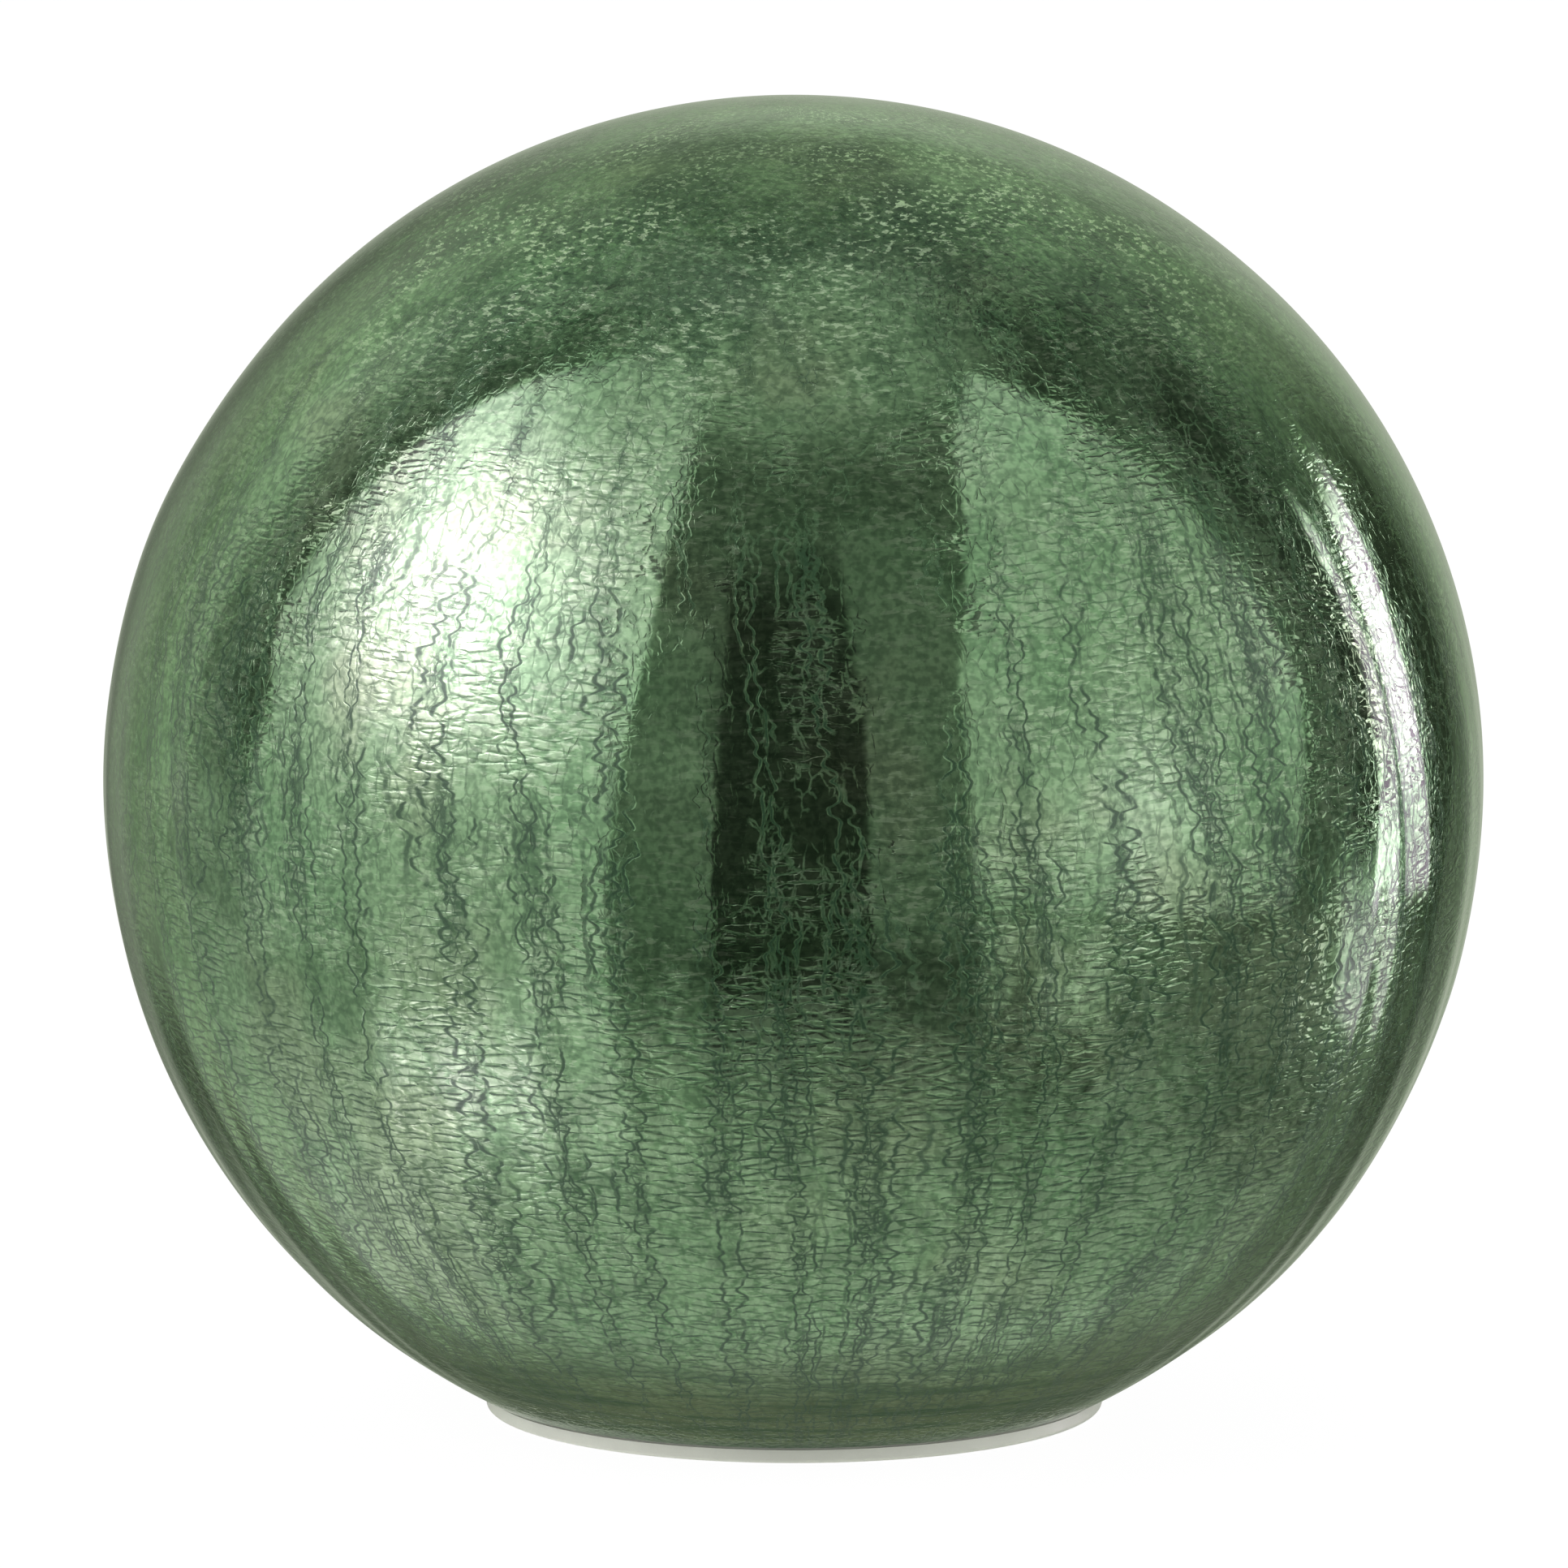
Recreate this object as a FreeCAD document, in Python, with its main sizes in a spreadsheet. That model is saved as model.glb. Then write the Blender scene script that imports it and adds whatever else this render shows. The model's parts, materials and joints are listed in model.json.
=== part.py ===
# A crackle-glass light ball: a mirrored blown-glass sphere that stands on a clear plastic base plug.
# The plug holds three battery cells behind a hinged door, a slide switch and a timer board under a cover.
# A clear tube on the cover carries a wound wire with light drops inside the ball.
# Lengths are millimetres, Z is up, and the origin is on the table at the centre of the foot ring.
import FreeCAD, Part
import math
import os
import Sketcher

DRIVING_SIZES = {
    # blown glass ball
    "ball_diameter": 200.0,
    "ball_wall": 2.0,
    "rim_land": 0.46,
    # glue seal between the glass rim and the flange
    "seal_thickness": 0.4,
    "seal_inset": 0.25,
    # base tray: flange, foot ring, floor and the skirt that goes up into the glass opening
    "flange_inset": 0.79,
    "flange_thickness": 2.0,
    "flange_round": 0.5,
    "foot_ring_width": 3.8,
    "foot_recess": 0.6,
    "floor_thickness": 3.0,
    "skirt_clearance": 0.6,
    "skirt_wall": 1.4,
    "skirt_height": 13.0,
    "box_skirt_gap": 1.96,
    "snap_reach": 1.2,
    "snap_width": 8.0,
    "snap_height": 2.8,
    "snap_gap": 0.5,
    # battery cells and their bays
    "cell_diameter": 14.5,
    "cell_length": 50.5,
    "cell_bevel": 0.5,
    "nub_diameter": 5.5,
    "nub_height": 1.4,
    "cell_gap": 0.3,
    "bay_rib": 0.8,
    "bay_rib_setback": 1.5,
    "bay_rib_height": 8.0,
    "bay_wall": 1.2,
    "bay_roof": 1.2,
    # battery contacts
    "contact_thickness": 0.4,
    "contact_width": 9.0,
    "contact_height": 10.0,
    "contact_gap": 0.05,
    "tab_width": 3.0,
    "tab_rise": 2.8,
    "tab_slot_clearance": 0.2,
    "spring_length": 4.2,
    "spring_wire": 0.7,
    "spring_base_diameter": 8.0,
    "spring_tip_diameter": 5.6,
    # battery door with its hinge barrel, pins and latch tongue
    "door_thickness": 1.6,
    "door_side_lap": 1.55,
    "door_edge_lap": 2.1,
    "door_corner": 5.0,
    "door_clearance": 0.2,
    "door_end_clearance": 0.3,
    "hinge_wall_gap": 0.15,
    "barrel_diameter": 2.0,
    "hinge_pin_diameter": 1.2,
    "hinge_pin_length": 1.3,
    "hinge_pin_clearance": 0.06,
    "tongue_width": 10.0,
    "tongue_length": 9.0,
    "tongue_slit": 0.8,
    "grip_ridge": 0.3,
    "grip_ridge_width": 0.8,
    "grip_ridge_pitch": 2.0,
    "thumb_notch_diameter": 12.0,
    "thumb_notch_depth": 1.4,
    # screws that hold the cover down
    "cover_screw_diameter": 2.6,
    "cover_screw_head": 4.6,
    "cover_screw_head_height": 1.9,
    "cover_screw_length": 12.0,
    "cover_screw_depth": 2.0,
    "screw_clearance": 0.1,
    "post_diameter": 6.6,
    "post_height": 8.4,
    "post_skirt_gap": 0.4,
    "post_switch_gap": 3.2,
    "boss_diameter": 5.2,
    # cover over the electronics
    "cover_lead_gap": 3.1,
    "cover_wall": 1.4,
    "cover_top": 1.6,
    "cover_bevel": 2.0,
    "lip_height": 1.6,
    "lip_wall": 1.2,
    "lip_clearance": 0.15,
    "lip_root": 1.2,
    # timer board and what is soldered on it
    "board_end_gap": 3.4,
    "board_width": 28.0,
    "board_thickness": 1.6,
    "board_corner": 2.0,
    "standoff_height": 3.5,
    "standoff_diameter": 5.0,
    "standoff_spacing": 28.0,
    "board_screw_diameter": 2.0,
    "board_screw_head": 3.8,
    "board_screw_head_height": 1.4,
    "board_screw_length": 5.0,
    "chip_length": 5.0,
    "chip_width": 4.0,
    "chip_height": 1.5,
    "chip_inset": 8.0,
    "leg_width": 0.4,
    "leg_thickness": 0.2,
    "leg_reach": 1.0,
    "leg_pitch": 1.27,
    "capacitor_diameter": 5.0,
    "capacitor_height": 6.5,
    "capacitor_groove": 0.3,
    "capacitor_x": 7.0,
    "capacitor_inset": 6.0,
    "crystal_length": 8.0,
    "crystal_diameter": 3.0,
    "crystal_lift": 0.1,
    "crystal_x": 8.0,
    "crystal_inset": 7.0,
    "resistor_length": 2.0,
    "resistor_width": 1.25,
    "resistor_height": 0.6,
    "resistor_pitch": 3.0,
    "resistor_x": 6.0,
    "resistor_inset": 5.0,
    # slide switch
    "switch_length": 13.0,
    "switch_width": 6.0,
    "switch_height": 5.0,
    "switch_wall": 0.5,
    "switch_ear": 4.0,
    "switch_ear_thickness": 0.8,
    "switch_screw_diameter": 1.6,
    "switch_screw_head": 3.0,
    "switch_screw_head_height": 1.0,
    "switch_screw_length": 2.4,
    "knob_length": 3.0,
    "knob_width": 3.0,
    "knob_travel": 2.2,
    "knob_clearance": 0.2,
    "knob_table_gap": 0.3,
    "slider_length": 6.0,
    "slider_thickness": 1.0,
    "slider_lift": 0.7,
    "terminal_board": 1.2,
    "pin_width": 0.8,
    "pin_thickness": 0.4,
    "pin_height": 2.2,
    "pin_pitch": 3.0,
    "dish_length": 14.0,
    "dish_width": 7.0,
    "dish_depth": 1.4,
    # insulated leads
    "lead_diameter": 1.4,
    "lead_loop_height": 5.0,
    "lead_landing_inset": 2.4,
    "switch_lead_landing_inset": 4.5,
    # clear tube that carries the wound light wire
    "former_diameter": 40.0,
    "former_wall": 0.5,
    "former_height": 112.0,
    "former_fit": 0.3,
    "seat_height": 4.0,
    "seat_wall": 1.4,
    # light string
    "string_lead_diameter": 1.6,
    "sleeve_wall": 0.5,
    "sleeve_clearance": 0.05,
    "sleeve_length": 8.0,
    "sleeve_lap": 3.0,
    "sleeve_lift": 4.0,
    "wire_diameter": 0.6,
    "wire_bend_radius": 10.0,
    "winding_top_gap": 6.0,
    "drop_diameter": 3.0,
    "drop_length": 4.4,
    "drop_end_diameter": 0.9,
    "drop_gap": 0.1,
    "grommet_bore_clearance": 0.05,
    "grommet_neck_diameter": 4.4,
    "grommet_neck_clearance": 0.05,
    "grommet_flange_diameter": 5.4,
    "grommet_flange_thickness": 0.8,
    # how far a cutting outline runs past the face that it cuts
    "overrun": 1.0,
}

# Counts
CELL_COUNT = 3
SPRING_TURNS = 3
SNAP_COUNT = 3
LEGS_A_SIDE = 4
RESISTOR_COUNT = 3
GRIP_RIDGE_COUNT = 4
SWITCH_PINS_A_SIDE = 2
WINDING_TURNS = 12
DROP_COUNT = 20

# Angles, in degrees
FULL_TURN = 360
QUARTER_TURN = 90

# A cut has to take away at least this share of the body that it cuts.
LEAST_CUT_SHARE = 1e-7
# Two levels or radii this close count as the same.
SAME_LENGTH = 1e-6
# Points on each turn when the gap between turns is measured
POINTS_A_TURN = 24

X_AXIS = FreeCAD.Vector(1, 0, 0)
Y_AXIS = FreeCAD.Vector(0, 1, 0)
Z_AXIS = FreeCAD.Vector(0, 0, 1)

doc = FreeCAD.newDocument("led_glass_ball")
sheet = doc.addObject("Spreadsheet::Sheet", "Sizes")
for row, (alias, number) in enumerate(DRIVING_SIZES.items(), start=1):
    sheet.set(f"A{row}", alias.replace("_", " "))
    sheet.set(f"B{row}", str(number))
    sheet.setAlias(f"B{row}", alias)
doc.recompute()


class Size:
    """A length with its value and the expression that gives it from the sheet."""

    def __init__(self, value, text):
        self.value = float(value)
        self.text = text

    def __add__(self, other):
        other = as_size(other)
        return Size(self.value + other.value, f"({self.text} + {other.text})")

    def __radd__(self, other):
        return as_size(other) + self

    def __sub__(self, other):
        other = as_size(other)
        return Size(self.value - other.value, f"({self.text} - {other.text})")

    def __rsub__(self, other):
        return as_size(other) - self

    def __mul__(self, other):
        other = as_size(other)
        return Size(self.value * other.value, f"({self.text} * {other.text})")

    def __rmul__(self, other):
        return as_size(other) * self

    def __truediv__(self, other):
        other = as_size(other)
        return Size(self.value / other.value, f"({self.text} / {other.text})")

    def __neg__(self):
        return as_size(0) - self


def as_size(number):
    """A size as it is, and a plain number as a size."""
    return number if isinstance(number, Size) else Size(number, str(number))


def root(size):
    """The square root of a size, as a leg of a right triangle needs it."""
    return Size(math.sqrt(size.value), f"sqrt({size.text})")


class SizeSheet:
    """Gives each aliased cell of the sheet as a size."""

    def __getattr__(self, alias):
        return Size(sheet.get(alias), f"Sizes.{alias}")


d = SizeSheet()

def longest_side(one, other):
    """The longest side of a right triangle, from its two legs."""
    return root(one * one + other * other)


def other_leg(longest, leg):
    """The second leg of a right triangle, from its longest side and one leg."""
    return root(longest * longest - leg * leg)


# Levels of the floor and the door
floor_under = d.foot_recess
floor_level = floor_under + d.floor_thickness
skirt_top = d.flange_thickness + d.skirt_height
door_inside = floor_under + d.door_thickness

# Bays for the cells, and the box of walls round them
bay_floor = door_inside + d.cell_gap
cell_axis_level = bay_floor + d.cell_diameter / 2
bay_ceiling = bay_floor + d.cell_diameter + d.cell_gap
roof_level = bay_ceiling + d.bay_roof
bay_pitch = d.cell_diameter + 2 * d.cell_gap + d.bay_rib
bays_width = CELL_COUNT * bay_pitch - d.bay_rib
bays_length = d.cell_length + d.spring_length + 2 * d.contact_thickness + d.contact_gap
box_width = bays_width + 2 * d.bay_wall
box_length = bays_length + 2 * d.bay_wall

# The skirt goes round the box, the glass opening round the skirt, and the ball stands over the flange
skirt_bore_radius = longest_side(box_width / 2, box_length / 2) + d.box_skirt_gap
skirt_radius = skirt_bore_radius + d.skirt_wall
opening_radius = skirt_radius + d.skirt_clearance
ball_radius = d.ball_diameter / 2
bore_radius = ball_radius - d.ball_wall
ball_centre_rise = other_leg(bore_radius, opening_radius) + d.rim_land
rim_radius = other_leg(ball_radius, ball_centre_rise)
rim_level = d.flange_thickness + d.seal_thickness
ball_centre_level = rim_level + ball_centre_rise
flange_radius = rim_radius - d.flange_inset
foot_bore_radius = flange_radius - d.foot_ring_width

# Battery door
door_width = bays_width + 2 * d.door_side_lap
hinge_y = -(box_length / 2 + d.barrel_diameter / 2 + d.hinge_wall_gap)
hinge_level = floor_under + d.barrel_diameter / 2
door_edge_y = bays_length / 2 + d.door_edge_lap

# Switch and cover screws, in the room between the box and the skirt
switch_x = (box_width / 2 + skirt_bore_radius) / 2
switch_roof = floor_level + d.switch_height
slider_width = d.switch_width - 2 * d.switch_wall - 2 * d.knob_clearance
cover_screw_y = d.switch_length / 2 + d.switch_ear + d.post_switch_gap + d.post_diameter / 2
cover_screw_x = other_leg(skirt_bore_radius - d.post_diameter / 2 - d.post_skirt_gap, cover_screw_y)
screw_seat = floor_under + d.cover_screw_depth + d.cover_screw_head_height
post_top = floor_under + d.post_height

# Light string, wound on the tube from just above its sleeve
former_radius = d.former_diameter / 2
winding_radius = former_radius + d.drop_gap + d.drop_diameter / 2

# Board and cover
board_under = roof_level + d.standoff_height
board_level = board_under + d.board_thickness
board_half_length = winding_radius + d.board_end_gap
board_half_width = d.board_width / 2
lead_top = board_level + d.lead_loop_height
cover_under = lead_top + d.lead_diameter / 2 + d.cover_lead_gap
cover_level = cover_under + d.cover_top

sleeve_level = cover_level + d.sleeve_lift
sleeve_top = sleeve_level + d.sleeve_length
wire_start = sleeve_level + d.sleeve_lap
winding_level = sleeve_top + d.wire_bend_radius
winding_top = cover_level + d.former_height - d.winding_top_gap
winding_pitch = (winding_top - winding_level) / WINDING_TURNS
winding_turn_length = 2 * math.pi * winding_radius
winding_slope_length = longest_side(winding_turn_length, winding_pitch)
bend_sine = winding_pitch / winding_slope_length
bend_cosine = winding_turn_length / winding_slope_length
bend_level = winding_level - d.wire_bend_radius * bend_cosine
gland_x = -winding_radius
gland_y = d.wire_bend_radius * (1 - bend_sine)


def bind(thing, path, size):
    """Drives one property of a feature from the sheet."""
    thing.setExpression(path, as_size(size).text)


def place(thing, x=0, y=0, z=0, axis=Z_AXIS, angle=0):
    """Puts a feature at a place that follows the sheet, turned about an axis."""
    start = [as_size(part).value for part in (x, y, z)]
    thing.Placement = FreeCAD.Placement(FreeCAD.Vector(*start), FreeCAD.Rotation(axis, angle))
    for name, part in zip("xyz", (x, y, z)):
        bind(thing, f"Placement.Base.{name}", part)


class Corner:
    """A corner of an outline. kept names the coordinates that are dimensioned.

    Where centre is given, the edge that leaves the corner is an arc about it.
    """

    def __init__(self, x, y, kept="xy", centre=None, clockwise=False):
        self.x = as_size(x)
        self.y = as_size(y)
        self.kept = kept
        self.centre = centre
        self.clockwise = clockwise

    def vector(self):
        return FreeCAD.Vector(self.x.value, self.y.value, 0)


def dimension(sketch, edge, end, along, size):
    """Ties one coordinate of a sketch point to a size, or to the sketch axis where it is zero."""
    size = as_size(size)
    if size.text == "0":
        axis_line = -2 if along == "x" else -1
        sketch.addConstraint(Sketcher.Constraint("PointOnObject", edge, end, axis_line))
        return
    kind = "DistanceX" if along == "x" else "DistanceY"
    index = sketch.addConstraint(Sketcher.Constraint(kind, edge, end, size.value))
    bind(sketch, f"Constraints[{index}]", size)


def angle_about(centre, point):
    return math.atan2(point.y - centre.y, point.x - centre.x)


def arc_between(centre, start, end):
    """The arc that runs anticlockwise from start to end about the centre."""
    first = angle_about(centre, start)
    last = angle_about(centre, end)
    if last <= first:
        last += 2 * math.pi
    return Part.ArcOfCircle(Part.Circle(centre, Z_AXIS, (start - centre).Length), first, last)


def draw_loop(sketch, corners):
    """Draws one closed outline through its corners and dimensions it."""
    first = sketch.GeometryCount
    ends = []
    for corner, following in zip(corners, corners[1:] + corners[:1]):
        start = corner.vector()
        finish = following.vector()
        if corner.centre is None:
            sketch.addGeometry(Part.LineSegment(start, finish))
            ends.append((1, 2))
            continue
        middle = FreeCAD.Vector(as_size(corner.centre[0]).value, as_size(corner.centre[1]).value, 0)
        if corner.clockwise:
            sketch.addGeometry(arc_between(middle, finish, start))
            ends.append((2, 1))
        else:
            sketch.addGeometry(arc_between(middle, start, finish))
            ends.append((1, 2))
    count = len(corners)
    for index, corner in enumerate(corners):
        edge = first + index
        after = (index + 1) % count
        sketch.addConstraint(
            Sketcher.Constraint("Coincident", edge, ends[index][1], first + after, ends[after][0])
        )
        for along, size in (("x", corner.x), ("y", corner.y)):
            if along in corner.kept:
                dimension(sketch, edge, ends[index][0], along, size)
        if corner.centre is not None:
            dimension(sketch, edge, 3, "x", corner.centre[0])
            dimension(sketch, edge, 3, "y", corner.centre[1])


def draw_circle(sketch, x, y, radius):
    """Draws a circle with its centre and radius dimensioned."""
    centre = FreeCAD.Vector(as_size(x).value, as_size(y).value, 0)
    edge = sketch.addGeometry(Part.Circle(centre, Z_AXIS, radius.value))
    dimension(sketch, edge, 3, "x", x)
    dimension(sketch, edge, 3, "y", y)
    index = sketch.addConstraint(Sketcher.Constraint("Radius", edge, radius.value))
    bind(sketch, f"Constraints[{index}]", radius)


def rectangle(low_x, low_y, high_x, high_y):
    """The four corners of an upright rectangle."""
    return [
        Corner(low_x, low_y),
        Corner(high_x, low_y),
        Corner(high_x, high_y),
        Corner(low_x, high_y),
    ]


def centred_rectangle(x, y, length_x, length_y):
    x, y = as_size(x), as_size(y)
    return rectangle(x - length_x / 2, y - length_y / 2, x + length_x / 2, y + length_y / 2)


def rounded_end_plate(half_width, low_y, high_y, corner):
    """A plate that is square at its low end and has two round corners at its high end."""
    turn_x = half_width - corner
    turn_y = high_y - corner
    return [
        Corner(-half_width, low_y),
        Corner(half_width, low_y),
        Corner(half_width, turn_y, centre=(turn_x, turn_y)),
        Corner(turn_x, high_y, kept="x"),
        Corner(-turn_x, high_y, centre=(-turn_x, turn_y)),
        Corner(-half_width, turn_y, kept="y"),
    ]


def rounded_plate(half_x, half_y, corner):
    """A centred plate with four round corners."""
    turn_x = half_x - corner
    turn_y = half_y - corner
    return [
        Corner(turn_x, -half_y, centre=(turn_x, -turn_y)),
        Corner(half_x, -turn_y, kept="y"),
        Corner(half_x, turn_y, centre=(turn_x, turn_y)),
        Corner(turn_x, half_y, kept="x"),
        Corner(-turn_x, half_y, centre=(-turn_x, turn_y)),
        Corner(-half_x, turn_y, kept="y"),
        Corner(-half_x, -turn_y, centre=(-turn_x, -turn_y)),
        Corner(-turn_x, -half_y, kept="x"),
    ]


pieces = {}


def keep(name, feature):
    """Names a finished piece."""
    feature.Label = name
    pieces[name] = feature
    return feature


def new_body(name):
    return keep(name, doc.addObject("PartDesign::Body", name))


def new_sketch(body, role="XY_Plane", lift=0):
    """A sketch on one of the body's own planes, lifted along the plane's normal."""
    plane = next(part for part in body.Origin.OriginFeatures if part.Role == role)
    sketch = body.newObject("Sketcher::SketchObject", "Outline")
    sketch.AttachmentSupport = [(plane, "")]
    sketch.MapMode = "FlatFace"
    bind(sketch, "AttachmentOffset.Base.z", lift)
    return sketch


def turn(body, corners):
    """Turns an outline of (radius, height) corners about Z."""
    sketch = new_sketch(body, "XZ_Plane")
    draw_loop(sketch, corners)
    feature = body.newObject("PartDesign::Revolution", "Turned")
    feature.Profile = sketch
    feature.ReferenceAxis = (sketch, ["V_Axis"])
    feature.Angle = FULL_TURN
    return feature


def pad(body, sketch, height, both_ways=False):
    """Raises the sketch's outlines by a height."""
    feature = body.newObject("PartDesign::Pad", "Raised")
    feature.Profile = sketch
    feature.Midplane = both_ways
    bind(feature, "Length", height)
    return feature


def pocket(body, sketch, depth, both_ways=False):
    """Cuts the sketch's outlines upwards by a depth, and makes sure that something was cut."""
    doc.recompute()
    before = body.Shape.Volume
    feature = body.newObject("PartDesign::Pocket", "Cut")
    feature.Profile = sketch
    feature.Midplane = both_ways
    feature.Reversed = not both_ways
    bind(feature, "Length", depth)
    doc.recompute()
    if body.Shape.Volume > before * (1 - LEAST_CUT_SHARE):
        raise RuntimeError(f"a cut in {body.Label} takes nothing away")
    return feature


def pad_loops(body, loops, low, high):
    """Raises closed outlines from one level to another."""
    sketch = new_sketch(body, lift=low)
    for loop in loops:
        draw_loop(sketch, loop)
    return pad(body, sketch, as_size(high) - low)


def cut_loops(body, loops, low, high):
    """Cuts closed outlines from one level to another."""
    sketch = new_sketch(body, lift=low)
    for loop in loops:
        draw_loop(sketch, loop)
    return pocket(body, sketch, as_size(high) - low)


def pad_circles(body, places, radius, low, high):
    sketch = new_sketch(body, lift=low)
    for x, y in places:
        draw_circle(sketch, x, y, radius)
    return pad(body, sketch, as_size(high) - low)


def cut_circles(body, places, radius, low, high):
    sketch = new_sketch(body, lift=low)
    for x, y in places:
        draw_circle(sketch, x, y, radius)
    return pocket(body, sketch, as_size(high) - low)


def round_ring_edges(body, feature, level, radius, rounding):
    """Rounds the circular edges of a radius that lie at a level."""
    doc.recompute()
    names = []
    for index, edge in enumerate(feature.Shape.Edges, start=1):
        curve = edge.Curve
        if not isinstance(curve, Part.Circle):
            continue
        same_level = abs(curve.Center.z - as_size(level).value) < SAME_LENGTH
        same_radius = abs(curve.Radius - radius.value) < SAME_LENGTH
        if same_level and same_radius:
            names.append(f"Edge{index}")
    if not names:
        raise RuntimeError(f"{body.Label} has no edge to round")
    fillet = body.newObject("PartDesign::Fillet", "Rounded")
    fillet.Base = (feature, names)
    bind(fillet, "Radius", rounding)
    return fillet


def block(low_corner, lengths):
    """A box from its lowest corner and its lengths along X, Y and Z."""
    feature = doc.addObject("Part::Box", "Block")
    for name, length in zip(("Length", "Width", "Height"), lengths):
        bind(feature, name, length)
    place(feature, *low_corner)
    return feature


def centred_block(x, y, low, lengths):
    """A box that stands on a level, centred on a place."""
    return block((as_size(x) - lengths[0] / 2, as_size(y) - lengths[1] / 2, low), lengths)


def rod(x, y, z, radius, height, axis=Z_AXIS, angle=0):
    """A round rod from the centre of its end."""
    feature = doc.addObject("Part::Cylinder", "Rod")
    bind(feature, "Radius", radius)
    bind(feature, "Height", height)
    place(feature, x, y, z, axis, angle)
    return feature


def join(features):
    feature = doc.addObject("Part::MultiFuse", "Joined")
    feature.Shapes = features
    feature.Refine = True
    return feature


def cut_away(base, tools):
    """Takes the tools away from the base."""
    feature = doc.addObject("Part::Cut", "Trimmed")
    feature.Base = base
    feature.Tool = join(tools) if len(tools) > 1 else tools[0]
    feature.Refine = True
    return feature


def group(features):
    """Separate solids that share one name."""
    feature = doc.addObject("Part::Compound", "Group")
    feature.Links = features
    return feature


def own_shape(name, shape):
    """A piece whose shape is worked out here, because no single feature gives it."""
    feature = keep(name, doc.addObject("Part::Feature", name))
    feature.Shape = shape
    return feature


def glass_height_at(radius):
    """How high the inside of the glass is, at a radius near the opening."""
    return ball_centre_level - root(bore_radius * bore_radius - radius * radius)


def make_glass_ball():
    """The blown ball: one wall between two spheres, cut flat at the rim and bored at the opening."""
    body = new_body("glass_ball")
    centre = (0, ball_centre_level)
    turn(
        body,
        [
            Corner(0, ball_centre_level + ball_radius, centre=centre, clockwise=True),
            Corner(rim_radius, rim_level, kept="y"),
            Corner(opening_radius, rim_level),
            Corner(opening_radius, glass_height_at(opening_radius), kept="x", centre=centre),
            Corner(0, ball_centre_level + bore_radius),
        ],
    )


def make_rim_seal():
    """The bead of clear sealant that glues the glass rim to the flange."""
    body = new_body("rim_seal")
    turn(
        body,
        rectangle(
            opening_radius + d.seal_inset,
            d.flange_thickness,
            flange_radius - d.seal_inset,
            rim_level,
        ),
    )


def cover_screw_places():
    return [(side_x * cover_screw_x, side_y * cover_screw_y) for side_x in (-1, 1) for side_y in (-1, 1)]


def board_screw_places():
    return [(side * d.standoff_spacing / 2, 0) for side in (-1, 1)]


def switch_screw_places():
    reach = d.switch_length / 2 + d.switch_ear / 2
    return [(switch_x, side * reach) for side in (-1, 1)]


def tab_places():
    """Where the two end contacts pass the roof of the bays: the first bay's back and the last bay's front."""
    reach = bays_length / 2 - d.contact_thickness / 2
    return [(-bay_pitch, reach), (bay_pitch, -reach)]


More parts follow.
